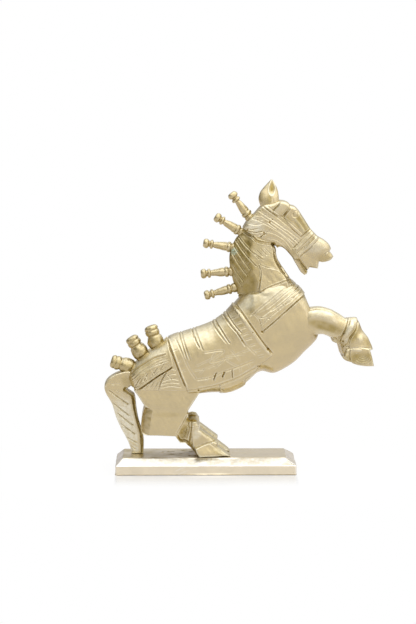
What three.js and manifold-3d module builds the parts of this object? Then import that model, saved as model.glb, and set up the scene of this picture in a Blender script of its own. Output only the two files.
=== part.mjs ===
// Rearing horse ornament: a cast metal horse with carved harness on a chamfered plinth.
// Millimetres, +Z up, +X towards the horse's head, origin at the centre of the plinth's underside.
// The near side of the horse is -Y and the far side is +Y; the two sides mirror each other.
import * as THREE from 'three';
import { mergeVertices } from 'three/addons/utils/BufferGeometryUtils.js';
import Module from 'manifold-3d';

const wasm = await Module();
wasm.setup();

// Plinth
const PLINTH_LENGTH = 181.4;
const PLINTH_WIDTH = 67;
const PLINTH_HEIGHT = 16.4;
const PLINTH_CHAMFER_WIDTH = 9.2;
const PLINTH_CHAMFER_HEIGHT = 7;

// Joints between castings
const SEAT_GAP = 0.3;
const PIN_CLEARANCE = 0.3;

// Torso, widths measured from the centre plane
const TORSO_HALF_WIDTH = 28;
const RUMP_HALF_WIDTH = 25;
const TORSO_STATIONS = 19;
const TORSO_SIDES = 28;
const HARNESS_RELIEF = 1.2;
const FLAP_RELIEF = 2.2;

// Neck and head
const NECK_BASE_HALF_WIDTH = 21;
const NECK_TOP_HALF_WIDTH = 12.5;
const NECK_STATIONS = 12;
const CHEEK_HALF_WIDTH = 14;
const MUZZLE_HALF_WIDTH = 10.5;
const HEAD_TAPER_START = 62;
const HEAD_TAPER_END = 122;
const HEAD_EDGE = 3;
const JAW_HALF_WIDTH = 7.5;

// Ears: feet apart on the poll, tips curving in until they almost meet
const EAR_ROOT_DEPTH = 9.6;
const EAR_LENGTH = 20.8;
const EAR_FOOT_SPREAD = 7.6;
const EAR_TIP_SPREAD = 1.6;
const EAR_LEAN = 1.3;
const EAR_THICKNESS = 8.4;
const EAR_SIDES = 14;

// Legs, as distances from the centre plane
const HIND_LEG_INNER = 3.5;
const HIND_LEG_OUTER = 25.3;
const HIND_LEG_EDGE = 1.2;
const FORELEG_CENTRE = 12.4;
const FORELEG_HALF_WIDTH = 10;
const FORE_HOOF_HALF_WIDTH = 10.6;
const FORE_HOOF_EDGE = 2.2;
const TUFT_HALF_WIDTH = 5;
const FAR_FORELEG_DROP = 3;
const LIMB_STATIONS = 15;
const LIMB_SIDES = 16;

// Tail
const TAIL_TOP_HALF_WIDTH = 9;
const TAIL_FOOT_HALF_WIDTH = 5;
const TAIL_EDGE = 2.2;
const TAIL_ROOT_HEIGHT = 80;

// Turned mane pegs
const MANE_PEG_LENGTH = 31;
const MANE_PEG_HEAD_DIAMETER = 9.6;
const MANE_PEG_COLLAR_DIAMETER = 9;
const MANE_PEG_THIN_DIAMETER = 5.8;
const MANE_PEG_THICK_DIAMETER = 8.6;
const MANE_PEG_RING_DIAMETER = 10.6;
const MANE_PEG_FOOT_DIAMETER = 9.4;
const MANE_PEG_SPIGOT_DIAMETER = 4.6;
const MANE_PEG_SPIGOT_LENGTH = 6;
const MANE_PEG_FOOT_HEIGHT = 2.2;
const MANE_PEG_RING_RISE = 5.4;
const MANE_PEG_COLLAR_DROP = 8.2;
const MANE_PEG_HEAD_HEIGHT = 5.2;

// Turned rump pegs
const RUMP_PEG_LENGTH = 24.5;
const RUMP_PEG_HEAD_DIAMETER = 14;
const RUMP_PEG_NECK_DIAMETER = 10.8;
const RUMP_PEG_BARREL_DIAMETER = 16.8;
const RUMP_PEG_FOOT_DIAMETER = 12.6;
const RUMP_PEG_SPIGOT_DIAMETER = 6;
const RUMP_PEG_SPIGOT_LENGTH = 7;
const RUMP_PEG_FOOT_HEIGHT = 1.6;
const RUMP_PEG_BARREL_RISE = 7;
const RUMP_PEG_NECK_DROP = 9.6;
const RUMP_PEG_HEAD_HEIGHT = 7.4;

// Rings and collars on the pegs: half of their flat, and the height of the slope on each side
const BEAD_FLAT_HALF = 0.9;
const BEAD_SLOPE = 1.1;
const PEG_SIDES = 14;

// Hidden dowel pins that line up the castings
const NECK_PIN_DIAMETER = 8;
const NECK_PIN_LENGTH = 30;
const HEAD_PIN_DIAMETER = 6;
const HEAD_PIN_LENGTH = 22;
const LEG_PIN_DIAMETER = 6;
const LEG_PIN_LENGTH = 22;
const TAIL_PIN_DIAMETER = 4;
const TAIL_PIN_LENGTH = 14;
const ROUND_SIDES = 12;

// Screws up through the plinth into the hooves and the tail
const HOOF_SCREW_DIAMETER = 4;
const HOOF_SCREW_HEAD_DIAMETER = 7.6;
const TAIL_SCREW_DIAMETER = 3;
const TAIL_SCREW_HEAD_DIAMETER = 5.8;
const SCREW_HEAD_HEIGHT = 2.6;
const SCREW_BITE = 8;
const SCREW_RECESS = 1;
const SCREW_SLOT_WIDTH = 1;
const SCREW_SLOT_DEPTH = 1.1;
const SCREW_TIP_TAPER = 0.8;

// The horse is drawn from the plinth's top face: x along the body, z above that face.
// Each torso station is a back point, a belly point, a half width and the section's squareness. Over
// the haunches the lower half has a squareness of its own, so the harness hangs straight down there.
const TORSO_LINE = [
  { back: [-75.9, 79.7], belly: [-73.1, 70.7], half: 0.60 * RUMP_HALF_WIDTH, square: 2.2, skirt: 7 },
  { back: [-71.9, 89.2], belly: [-66.9, 66.7], half: 0.99 * RUMP_HALF_WIDTH, square: 2.5, skirt: 9 },
  { back: [-59.8, 101.1], belly: [-51.9, 66.2], half: 1.04 * RUMP_HALF_WIDTH, square: 2.8, skirt: 9 },
  { back: [-45.4, 111.2], belly: [-33.8, 65.7], half: 1.04 * RUMP_HALF_WIDTH, square: 2.9, skirt: 9 },
  { back: [-34.7, 118.3], belly: [-15.7, 64.4], half: 0.96 * TORSO_HALF_WIDTH, square: 2.7, skirt: 8 },
  { back: [-14.7, 124.8], belly: [4.4, 64.6], half: 1.00 * TORSO_HALF_WIDTH, square: 2.5, skirt: 4 },
  { back: [6.0, 132.4], belly: [22.0, 64.8], half: 1.00 * TORSO_HALF_WIDTH, square: 2.4 },
  { back: [21.3, 143.8], belly: [39.2, 71.8], half: 0.98 * TORSO_HALF_WIDTH, square: 2.4 },
  { back: [31.8, 155.9], belly: [54.6, 83.4], half: 0.98 * TORSO_HALF_WIDTH, square: 2.5 },
  { back: [43.3, 167.0], belly: [69.0, 82.2], half: 1.00 * TORSO_HALF_WIDTH, square: 2.6 },
  { back: [57.3, 175.5], belly: [85.2, 90.2], half: 0.97 * TORSO_HALF_WIDTH, square: 2.6 },
  { back: [71.0, 180.0], belly: [100.3, 104.6], half: 0.90 * TORSO_HALF_WIDTH, square: 2.6 },
  { back: [84.9, 175.6], belly: [111.6, 116.7], half: 0.80 * TORSO_HALF_WIDTH, square: 2.5 },
  { back: [96.6, 164.3], belly: [113.3, 123.6], half: 0.66 * TORSO_HALF_WIDTH, square: 2.4 },
  { back: [102.9, 151.0], belly: [110.5, 131.5], half: 0.40 * TORSO_HALF_WIDTH, square: 2.2 },
];

// Outlines seen from the side. Cloth, breast strap and crupper stand proud of the torso.
const CLOTH_OUTLINE = [
  [-41.0, 127.5], [-31.6, 105.9], [-23.7, 87.1], [-18.3, 63.4], [20.0, 61.4], [41.9, 75.2], [52.3, 90.9],
  [65.6, 103.7], [61.1, 109.6], [46.2, 130.8], [35.7, 145.0], [26.3, 161.7],
];
const FLAP_OUTLINE = [[14.4, 76.0], [13.6, 58.0], [30.0, 58.0], [42.0, 70.0], [39.2, 82.0]];
const BREAST_STRAP_OUTLINE = [
  [55.8, 127.9], [79.3, 147.2], [96.1, 159.8], [103.0, 164.5], [97.0, 173.3], [83.9, 167.0],
  [63.1, 149.1], [51.6, 144.0],
];
const CRUPPER_OUTLINE = [
  [-79.4, 86.7], [-66.1, 68.8], [-59.6, 77.2], [-44.6, 88.0], [-33.2, 94.9], [-36.6, 113.2],
  [-45.6, 107.3], [-58.5, 101.4], [-65.5, 95.5], [-72.5, 86.6],
];

// Each neck station is a crest point, a throat point and a share of the half width.
const NECK_LINE = [
  { crest: [37.4, 149.5], throat: [91.3, 163.2], width: 1.0 },
  { crest: [32.5, 160.4], throat: [84.8, 176.3], width: 0.92 },
  { crest: [27.5, 175.2], throat: [79.8, 183.7], width: 0.72 },
  { crest: [24.0, 191.9], throat: [73.8, 192.3], width: 0.55 },
  { crest: [24.4, 203.1], throat: [70.6, 199.5], width: 0.42 },
  { crest: [29.2, 215.0], throat: [69.7, 207.6], width: 0.28 },
  { crest: [36.7, 226.2], throat: [66.6, 215.9], width: 0.10 },
  { crest: [45.1, 236.0], throat: [64.1, 226.2], width: 0.0 },
];
// Half of the neck's section: distance towards the crest, and share of the half width.
const NECK_SECTION = [[1, 0.16], [0.9, 0.34], [0.06, 1], [-0.84, 0.9], [-1, 0.5]];

const HEAD_OUTLINE = [
  [37.2, 227.7], [49.2, 217.9], [64.6, 213.0], [71.1, 208.2], [75.4, 209.4], [82.2, 202.8],
  [88.0, 195.8], [92.6, 196.2], [96.2, 191.3], [101.2, 185.5], [103.4, 188.5], [111.8, 187.2],
  [112.8, 194.3], [119.1, 194.1], [124.4, 195.9], [127.2, 199.4], [123.7, 204.4], [124.6, 207.4],
  [122.5, 211.4], [117.4, 215.7], [112.3, 218.3], [104.2, 226.7], [96.5, 238.6], [90.8, 247.0],
  [84.8, 249.7], [80.1, 253.4], [73.1, 254.6], [66.0, 252.2], [57.0, 250.1], [47.7, 240.6],
  [40.8, 233.8],
];
// The poll is the outline's highest point, and the ears are rooted in it.
const POLL_HEIGHT = Math.max(...HEAD_OUTLINE.map(([, z]) => z));
const JAW_OUTLINE = [
  [85.6, 201.0], [92.4, 197.0], [101.6, 184.6], [98.4, 180.6], [94.8, 183.4], [87.6, 195.8],
];

// Ear stations: share of the height, middle and half length along the horse, share of thickness.
const EAR_LINE = [
  { rise: 0.0, middle: 65.0, half: 5.6, thick: 0.8 },
  { rise: 0.16, middle: 63.4, half: 8.8, thick: 1.0 },
  { rise: 0.36, middle: 62.8, half: 9.9, thick: 1.0 },
  { rise: 0.54, middle: 63.1, half: 9.2, thick: 0.9 },
  { rise: 0.72, middle: 64.2, half: 6.9, thick: 0.72 },
  { rise: 0.88, middle: 65.1, half: 3.5, thick: 0.5 },
  { rise: 1.0, middle: 65.8, half: 0.7, thick: 0.2 },
];

// Foreleg stations: front point, rear point, share of the half width.
const FORELEG_LINE = [
  { front: [92.7, 147.4], rear: [97.8, 120.3], width: 0.95 },
  { front: [104.1, 149.2], rear: [108.3, 121.2], width: 1.0 },
  { front: [113.6, 150.0], rear: [115.7, 122.2], width: 1.0 },
  { front: [123.4, 147.4], rear: [121.7, 121.0], width: 0.96 },
  { front: [132.2, 142.8], rear: [127.0, 118.6], width: 0.92 },
  { front: [141.6, 137.4], rear: [130.2, 115.4], width: 0.92 },
  { front: [150.6, 137.0], rear: [132.8, 112.4], width: 0.95 },
  { front: [155.8, 126.2], rear: [134.2, 107.5], width: 0.96 },
  { front: [162.0, 118.6], rear: [135.4, 103.4], width: 0.98 },
  { front: [167.4, 106.4], rear: [137.4, 99.6], width: 1.0 },
];
const FORE_HOOF_OUTLINE = [
  [136.9, 100.6], [139.4, 107.1], [163.8, 107.0], [164.2, 104.1], [167.4, 90.9], [158.3, 91.0],
  [148.9, 92.8], [142.9, 95.2],
];
const TUFT_OUTLINE = [[126.2, 122.4], [127.2, 115.4], [132.6, 112.8], [138.0, 116.0], [136.0, 124.0]];

// Hind leg from haunch to toe. The top is cut back to the torso's underside.
const HIND_LEG_OUTLINE = [
  [-71.2, 69.4], [-60.4, 51.0], [-63.6, 40.2], [-64.4, 31.6], [-63.2, 23.9], [-60.4, 22.7], [-30.2, 21.0],
  [-27.9, 17.6], [-25.5, 14.6], [-20.3, 14.4], [-6.6, 0.0], [24.4, 0.0], [23.1, 2.4], [11.9, 10.7],
  [12.4, 14.7], [0.4, 23.9], [-5.8, 28.6], [-6.5, 33.8], [-9.6, 37.3], [-13.4, 38.0], [-17.2, 37.0],
  [-18.0, 46.4], [-9.7, 59.2], [-4.0, 68.4],
];

const TAIL_OUTLINE = [
  [-69.8, 72.8], [-73.7, 84.0], [-84.0, 83.2], [-93.2, 79.4], [-100.6, 72.4], [-101.2, 67.1], [-99.3, 61.2],
  [-93.3, 50.2], [-89.6, 37.2], [-85.1, 26.8], [-78.8, 14.5], [-75.1, 4.8], [-74.5, 0.0], [-62.5, 0.0],
  [-62.2, 14.6], [-63.5, 22.4], [-67.3, 34.1], [-69.5, 46.4], [-70.8, 58.1], [-71.8, 60.7], [-79.8, 66.1],
];

// Turned pegs: foot point on the body and a point that the head aims at.
const MANE_PEGS = [
  { foot: [44.1, 237.2], aim: [25.5, 261.8] },
  { foot: [36.2, 222.7], aim: [9.6, 238.8] },
  { foot: [28.6, 207.4], aim: [-1.9, 212.3] },
  { foot: [26.3, 183.8], aim: [-4.6, 181.3] },
  { foot: [29.0, 167.4], aim: [-1.0, 159.4] },
];
const RUMP_PEGS = [
  { foot: [-71.4, 86.4], aim: [-94.4, 94.0] },
  { foot: [-62.0, 97.4], aim: [-75.0, 118.0] },
  { foot: [-47.3, 106.2], aim: [-55.4, 129.7] },
];

const HIND_LEG_CENTRE = (HIND_LEG_INNER + HIND_LEG_OUTER) / 2;
const HOOF_SCREW_X = 3;
const TAIL_SCREW_X = -68;

function castMetal(colour, roughness) {
  return new THREE.MeshStandardMaterial({ color: colour, metalness: 1, roughness });
}

const PALE_GOLD = castMetal(0xcbb88e, 0.38);
const PLINTH_GOLD = castMetal(0xd2c3a0, 0.42);
const TURNED_GOLD = castMetal(0xc6b383, 0.32);
const STEEL = castMetal(0xa9a9a6, 0.35);

// Turns a closed geometry into a solid that can be cut and joined.
function solidOf(geometry) {
  const bare = geometry.clone();
  bare.deleteAttribute('normal');
  bare.deleteAttribute('uv');
  const merged = mergeVertices(bare, 1e-4);
  const mesh = new wasm.Mesh({
    numProp: 3,
    vertProperties: new Float32Array(merged.attributes.position.array),
    triVerts: new Uint32Array(merged.index.array),
  });
  return new wasm.Manifold(mesh);
}

function geometryOf(solid) {
  const mesh = solid.getMesh();
  const geometry = new THREE.BufferGeometry();
  geometry.setAttribute('position', new THREE.BufferAttribute(mesh.vertProperties, 3));
  geometry.setIndex(new THREE.BufferAttribute(mesh.triVerts, 1));
  geometry.computeVertexNormals();
  return geometry;
}

function signedVolume(positions, index) {
  const corner = (i) => new THREE.Vector3().fromArray(positions, 3 * i);
  let volume = 0;
  for (let i = 0; i < index.length; i += 3) {
    volume += corner(index[i]).dot(corner(index[i + 1]).cross(corner(index[i + 2])));
  }
  return volume / 6;
}

function middleOf(ring) {
  return ring.reduce((sum, point) => sum.add(point), new THREE.Vector3()).divideScalar(ring.length);
}

// Skins a row of rings of equal length and closes both ends.
function loft(rings) {
  const sides = rings[0].length;
  const points = rings.flat();
  const index = [];
  for (let r = 0; r + 1 < rings.length; r += 1) {
    for (let k = 0; k < sides; k += 1) {
      const a = r * sides + k;
      const b = r * sides + ((k + 1) % sides);
      index.push(a, b, a + sides, b, b + sides, a + sides);
    }
  }
  points.push(middleOf(rings[0]), middleOf(rings[rings.length - 1]));
  const last = (rings.length - 1) * sides;
  for (let k = 0; k < sides; k += 1) {
    const next = (k + 1) % sides;
    index.push(points.length - 2, next, k);
    index.push(points.length - 1, last + k, last + next);
  }
  const positions = points.flatMap((p) => [p.x, p.y, p.z]);
  if (signedVolume(positions, index) < 0) index.reverse();
  const geometry = new THREE.BufferGeometry();
  geometry.setAttribute('position', new THREE.Float32BufferAttribute(positions, 3));
  geometry.setIndex(index);
  return geometry;
}

// The lower half of the section can be squarer than the upper one.
function superellipse(sides, squareness, skirt = squareness) {
  return Array.from({ length: sides }, (_, k) => {
    const angle = (2 * Math.PI * k) / sides;
    const power = 2 / (Math.cos(angle) < 0 ? skirt : squareness);
    const bend = (value) => Math.sign(value) * Math.abs(value) ** power;
    return [bend(Math.cos(angle)), bend(Math.sin(angle))];
  });
}

// Runs smooth curves through the stations' upper and lower points and carries their numbers along.
function smoothLine(stations, count) {
  const through = (pick) => new THREE.CatmullRomCurve3(stations.map(pick), false, 'centripetal');
  const uppers = through((s) => new THREE.Vector3(s.upper[0], s.half, s.upper[1]));
  const lowers = through((s) => new THREE.Vector3(s.lower[0], s.square, s.lower[1]));
  const skirts = through((s, i) => new THREE.Vector3(i, s.skirt ?? s.square, 0));
  return Array.from({ length: count }, (_, i) => {
    const upper = uppers.getPoint(i / (count - 1));
    const lower = lowers.getPoint(i / (count - 1));
    return {
      upper: new THREE.Vector3(upper.x, 0, upper.z),
      lower: new THREE.Vector3(lower.x, 0, lower.z),
      half: upper.y,
      square: lower.y,
      skirt: skirts.getPoint(i / (count - 1)).y,
    };
  });
}

// One ring across the body: the section spans the upper and lower points and the width about y.
function sectionRing(station, section, y, grow) {
  const middle = station.upper.clone().add(station.lower).multiplyScalar(0.5);
  const up = station.upper.clone().sub(middle);
  const reach = up.length() + grow;
  up.normalize();
  return section.map(([u, v]) => {
    const point = middle.clone().addScaledVector(up, u * reach);
    point.y = y + v * (station.half + grow);
    return point;
  });
}

// Moves the first and last ring outward along the body, so a grown form is longer too.
function stretchEnds(rings, grow) {
  if (grow === 0) return rings;
  const ends = [[rings[0], rings[1]], [rings[rings.length - 1], rings[rings.length - 2]]];
  ends.forEach(([end, inner]) => {
    const step = middleOf(end).sub(middleOf(inner)).setLength(grow);
    end.forEach((point) => point.add(step));
  });
  return rings;
}

// A flat-sided piece with eased edges, drawn from the side and laid across y from low to high.
function plank(outline, low, high, edge, segments, grow = 0) {
  const shape = new THREE.Shape(outline.map(([x, z]) => new THREE.Vector2(x, z)));
  const geometry = new THREE.ExtrudeGeometry(shape, {
    depth: high - low + 2 * grow - 2 * edge,
    bevelEnabled: edge > 0,
    bevelThickness: edge,
    bevelSize: edge,
    bevelOffset: grow - edge,
    bevelSegments: segments,
  });
  geometry.translate(0, 0, edge);
  geometry.rotateX(Math.PI / 2);
  geometry.translate(0, high + grow, 0);
  return geometry;
}

// Scales a geometry's distance from the centre plane by a rule of x and z.
function narrow(geometry, share) {
  const position = geometry.attributes.position;
  for (let i = 0; i < position.count; i += 1) {
    position.setY(i, position.getY(i) * share(position.getX(i), position.getZ(i)));
  }
  return geometry;
}

function rod(diameter, length) {
  const geometry = new THREE.CylinderGeometry(diameter / 2, diameter / 2, length, ROUND_SIDES);
  geometry.rotateX(Math.PI / 2);
  return geometry;
}

// The turn that takes +Z to a direction in the side view.
function turnTo(x, z) {
  return new THREE.Quaternion().setFromUnitVectors(
    new THREE.Vector3(0, 0, 1), new THREE.Vector3(x, 0, z).normalize());
}

function placed(geometry, place) {
  const matrix = new THREE.Matrix4().compose(place.at, place.turn, new THREE.Vector3(1, 1, 1));
  return geometry.clone().applyMatrix4(matrix);
}

// Turned profiles are radii and heights from the foot, closed on the axis.
function turned(profile) {
  const geometry = new THREE.LatheGeometry(profile.map(([r, h]) => new THREE.Vector2(r, h)), PEG_SIDES);
  geometry.rotateX(Math.PI / 2);
  return geometry;
}

// A raised ring on a turned profile, at a middle height.
function bead(inner, outer, middle) {
  const reach = BEAD_FLAT_HALF + BEAD_SLOPE;
  return [
    [inner, middle - reach], [outer, middle - BEAD_FLAT_HALF], [outer, middle + BEAD_FLAT_HALF],
    [inner, middle + reach],
  ];
}

// A rounded knob with a flat end, closed on the axis.
function knob(radius, top, height) {
  return [
    [0.88 * radius, top - 0.94 * height], [radius, top - 0.6 * height], [0.88 * radius, top - 0.18 * height],
    [0.62 * radius, top], [0, top],
  ];
}

function manePegGeometry() {
  const head = MANE_PEG_HEAD_DIAMETER / 2;
  const collar = MANE_PEG_COLLAR_DIAMETER / 2;
  const thin = MANE_PEG_THIN_DIAMETER / 2;
  const thick = MANE_PEG_THICK_DIAMETER / 2;
  const ring = MANE_PEG_RING_DIAMETER / 2;
  const foot = MANE_PEG_FOOT_DIAMETER / 2;
  const spigot = MANE_PEG_SPIGOT_DIAMETER / 2;
  const top = MANE_PEG_LENGTH;
  return turned([
    [0, -MANE_PEG_SPIGOT_LENGTH], [spigot, -MANE_PEG_SPIGOT_LENGTH], [spigot, 0], [foot, 0],
    [foot, MANE_PEG_FOOT_HEIGHT],
    ...bead(thick, ring, MANE_PEG_RING_RISE),
    ...bead(thin, collar, top - MANE_PEG_COLLAR_DROP),
    ...knob(head, top, MANE_PEG_HEAD_HEIGHT),
  ]);
}

function rumpPegGeometry() {
  const head = RUMP_PEG_HEAD_DIAMETER / 2;
  const waist = RUMP_PEG_NECK_DIAMETER / 2;
  const barrel = RUMP_PEG_BARREL_DIAMETER / 2;
  const foot = RUMP_PEG_FOOT_DIAMETER / 2;
  const spigot = RUMP_PEG_SPIGOT_DIAMETER / 2;
  const top = RUMP_PEG_LENGTH;
  return turned([
    [0, -RUMP_PEG_SPIGOT_LENGTH], [spigot, -RUMP_PEG_SPIGOT_LENGTH], [spigot, 0], [foot, 0],
    [foot, RUMP_PEG_FOOT_HEIGHT],
    [barrel, RUMP_PEG_BARREL_RISE - 2 * BEAD_FLAT_HALF], [barrel, RUMP_PEG_BARREL_RISE + 2 * BEAD_FLAT_HALF],
    [waist, top - RUMP_PEG_NECK_DROP], [waist, top - RUMP_PEG_HEAD_HEIGHT - BEAD_SLOPE],
    ...knob(head, top, RUMP_PEG_HEAD_HEIGHT),
  ]);
}

// The room for a peg: a clearance hole for its spigot and a flat seat under its foot.
function pegRoom(footDiameter, spigotDiameter, spigotLength, reach) {
  const hole = spigotDiameter / 2 + PIN_CLEARANCE;
  const seat = footDiameter / 2 + PIN_CLEARANCE;
  return turned([
    [0, -spigotLength - SEAT_GAP], [hole, -spigotLength - SEAT_GAP], [hole, -SEAT_GAP],
    [seat, -SEAT_GAP], [seat, reach], [0, reach],
  ]);
}

function torsoLine() {
  return smoothLine(TORSO_LINE.map((s) => ({ ...s, upper: s.back, lower: s.belly })), TORSO_STATIONS);
}

function torsoForm(grow) {
  const rings = torsoLine().map((station) =>
    sectionRing(station, superellipse(TORSO_SIDES, station.square, station.skirt), 0, grow));
  return solidOf(loft(stretchEnds(rings, grow)));
}

function torsoRelief(outline, relief) {
  const across = solidOf(plank(outline, -2 * TORSO_HALF_WIDTH, 2 * TORSO_HALF_WIDTH, 0, 1));
  return torsoForm(relief).intersect(across);
}

function harnessedTorso(grow) {
  const raised = [CLOTH_OUTLINE, BREAST_STRAP_OUTLINE, CRUPPER_OUTLINE];
  const harness = raised.map((outline) => torsoRelief(outline, HARNESS_RELIEF + grow));
  harness.push(torsoRelief(FLAP_OUTLINE, FLAP_RELIEF + grow));
  return harness.reduce((solid, piece) => solid.add(piece), torsoForm(grow));
}

function neckForm(grow) {
  const stations = NECK_LINE.map((s) => ({
    upper: s.crest,
    lower: s.throat,
    half: NECK_TOP_HALF_WIDTH + (NECK_BASE_HALF_WIDTH - NECK_TOP_HALF_WIDTH) * s.width,
    square: 0,
  }));
  const section = [...NECK_SECTION, ...NECK_SECTION.map(([u, v]) => [u, -v]).reverse()];
  const rings = smoothLine(stations, NECK_STATIONS).map((station) => sectionRing(station, section, 0, grow));
  return solidOf(loft(stretchEnds(rings, grow)));
}

// The head narrows from the cheeks to the muzzle.
function headForm(grow) {
  const geometry = plank(HEAD_OUTLINE, -CHEEK_HALF_WIDTH, CHEEK_HALF_WIDTH, HEAD_EDGE, 2, grow);
  const share = (x) => {
    const along = THREE.MathUtils.smoothstep(x, HEAD_TAPER_START, HEAD_TAPER_END);
    return THREE.MathUtils.lerp(1, MUZZLE_HALF_WIDTH / CHEEK_HALF_WIDTH, along);
  };
  return solidOf(narrow(geometry, share));
}

function earForm(side) {
  const rings = EAR_LINE.map((s) => {
    const height = POLL_HEIGHT - EAR_ROOT_DEPTH + (EAR_ROOT_DEPTH + EAR_LENGTH) * s.rise;
    const y = side * THREE.MathUtils.lerp(EAR_FOOT_SPREAD, EAR_TIP_SPREAD, s.rise ** EAR_LEAN);
    return superellipse(EAR_SIDES, 2).map(([u, v]) =>
      new THREE.Vector3(s.middle + u * s.half, y + (v * s.thick * EAR_THICKNESS) / 2, height));
  });
  return solidOf(loft(rings));
}

function forelegForm(side) {
  const stations = FORELEG_LINE.map((s) => ({
    upper: s.front,
    lower: s.rear,
    half: FORELEG_HALF_WIDTH * s.width,
    square: 2.5,
  }));
  const middle = side * FORELEG_CENTRE;
  const rings = smoothLine(stations, LIMB_STATIONS).map((station) =>
    sectionRing(station, superellipse(LIMB_SIDES, station.square), middle, 0));
  const hoof = plank(FORE_HOOF_OUTLINE, middle - FORE_HOOF_HALF_WIDTH, middle + FORE_HOOF_HALF_WIDTH,
    FORE_HOOF_EDGE, 2);
  const tuft = plank(TUFT_OUTLINE, middle - TUFT_HALF_WIDTH, middle + TUFT_HALF_WIDTH, 0, 1);
  const drop = side > 0 ? FAR_FORELEG_DROP : 0;
  return solidOf(loft(rings)).add(solidOf(hoof)).add(solidOf(tuft)).translate([0, 0, -drop]);
}

function jawForm() {
  return solidOf(plank(JAW_OUTLINE, -JAW_HALF_WIDTH, JAW_HALF_WIDTH, 0, 1));
}

function hindLegForm(side, grow) {
  const low = side > 0 ? HIND_LEG_INNER : -HIND_LEG_OUTER;
  const high = side > 0 ? HIND_LEG_OUTER : -HIND_LEG_INNER;
  return solidOf(plank(HIND_LEG_OUTLINE, low, high, HIND_LEG_EDGE, 2, grow));
}

// The tail thins from its root to its foot.
function tailForm() {
  const geometry = plank(TAIL_OUTLINE, -TAIL_TOP_HALF_WIDTH, TAIL_TOP_HALF_WIDTH, TAIL_EDGE, 2);
  const share = (x, z) => THREE.MathUtils.lerp(
    TAIL_FOOT_HALF_WIDTH / TAIL_TOP_HALF_WIDTH, 1, THREE.MathUtils.smoothstep(z, 0, TAIL_ROOT_HEIGHT));
  return solidOf(narrow(geometry, share));
}

function plinthGeometry() {
  const ring = (inset, z) => {
    const x = PLINTH_LENGTH / 2 - inset;
    const y = PLINTH_WIDTH / 2 - inset;
    return [[x, y], [-x, y], [-x, -y], [x, -y]].map(([a, b]) => new THREE.Vector3(a, b, z));
  };
  return loft([
    ring(0, 0),
    ring(0, PLINTH_HEIGHT - PLINTH_CHAMFER_HEIGHT),
    ring(PLINTH_CHAMFER_WIDTH, PLINTH_HEIGHT),
  ]);
}

// Screw with its head down, its tip up and its head recessed in the plinth's underside.
function screwGeometry(diameter, headDiameter) {
  const head = headDiameter / 2;
  const shank = diameter / 2;
  const ledge = SCREW_RECESS + SCREW_HEAD_HEIGHT;
  const tip = PLINTH_HEIGHT + SCREW_BITE;
  const body = turned([
    [0, SCREW_RECESS], [head, SCREW_RECESS], [head, ledge], [shank, ledge],
    [shank, tip - SCREW_TIP_TAPER], [shank - SCREW_TIP_TAPER, tip], [0, tip],
  ]);
  const slot = new THREE.BoxGeometry(2 * headDiameter, SCREW_SLOT_WIDTH, SCREW_SLOT_DEPTH * 2);
  slot.translate(0, 0, SCREW_RECESS);
  return geometryOf(solidOf(body).subtract(solidOf(slot)));
}

// The room for a screw: a counterbore from below and a clearance hole above it.
function screwRoom(diameter, headDiameter) {
  const head = headDiameter / 2 + PIN_CLEARANCE;
  const shank = diameter / 2 + PIN_CLEARANCE;
  const ledge = SCREW_RECESS + SCREW_HEAD_HEIGHT + SEAT_GAP;
  return turned([
    [0, -1], [head, -1], [head, ledge], [shank, ledge],
    [shank, PLINTH_HEIGHT + SCREW_BITE + SEAT_GAP], [0, PLINTH_HEIGHT + SCREW_BITE + SEAT_GAP],
  ]);
}

const SIDES = [{ word: 'near', side: -1 }, { word: 'far', side: 1 }];

// Dowel pins: where the middle lies, which way it points in the side view, and its size.
const PINS = [
  {
    name: 'neck_pin',
    at: [58, 0, 171],
    aim: [-0.12, 1],
    diameter: NECK_PIN_DIAMETER,
    length: NECK_PIN_LENGTH,
  },
  {
    name: 'head_pin',
    at: [52, 0, 222],
    aim: [0.45, 0.9],
    diameter: HEAD_PIN_DIAMETER,
    length: HEAD_PIN_LENGTH,
  },
  {
    name: 'tail_pin',
    at: [-75.5, 0, 75.5],
    aim: [1, 0.1],
    diameter: TAIL_PIN_DIAMETER,
    length: TAIL_PIN_LENGTH,
  },
  ...SIDES.flatMap(({ word, side }) => [
    {
      name: `foreleg_pin_${word}`,
      at: [107, side * FORELEG_CENTRE, side > 0 ? 134 - FAR_FORELEG_DROP : 134],
      aim: [1, 0.1],
      diameter: LEG_PIN_DIAMETER,
      length: LEG_PIN_LENGTH,
    },
    {
      name: `hind_leg_pin_${word}`,
      at: [-35, side * HIND_LEG_CENTRE, 67],
      aim: [0, 1],
      diameter: LEG_PIN_DIAMETER,
      length: LEG_PIN_LENGTH,
    },
  ]),
];

function pinPlace(pin) {
  return { at: new THREE.Vector3(...pin.at), turn: turnTo(...pin.aim) };
}

// Cuts the clearance hole of every pin that passes through a casting.
function drilled(solid) {
  return PINS.reduce((body, pin) => {
    const hole = rod(pin.diameter + 2 * PIN_CLEARANCE, pin.length + 2 * PIN_CLEARANCE);
    return body.subtract(solidOf(placed(hole, pinPlace(pin))));
  }, solid);
}

function pegPlace(peg) {
  const [footX, footZ] = peg.foot;
  const [aimX, aimZ] = peg.aim;
  return { at: new THREE.Vector3(footX, 0, footZ), turn: turnTo(aimX - footX, aimZ - footZ) };
}

function seatedPegs(solid, pegs, room) {
  return pegs.reduce((body, peg) => body.subtract(solidOf(placed(room, pegPlace(peg)))), solid);
}

const group = new THREE.Group();
const horse = new THREE.Group();
horse.position.z = PLINTH_HEIGHT;
group.add(horse);

function addPiece(parent, name, geometry, material, place) {
  const mesh = new THREE.Mesh(geometry, material);
  mesh.name = name;
  if (place) {
    mesh.position.copy(place.at);
    mesh.quaternion.copy(place.turn);
  }
  parent.add(mesh);
}

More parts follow.
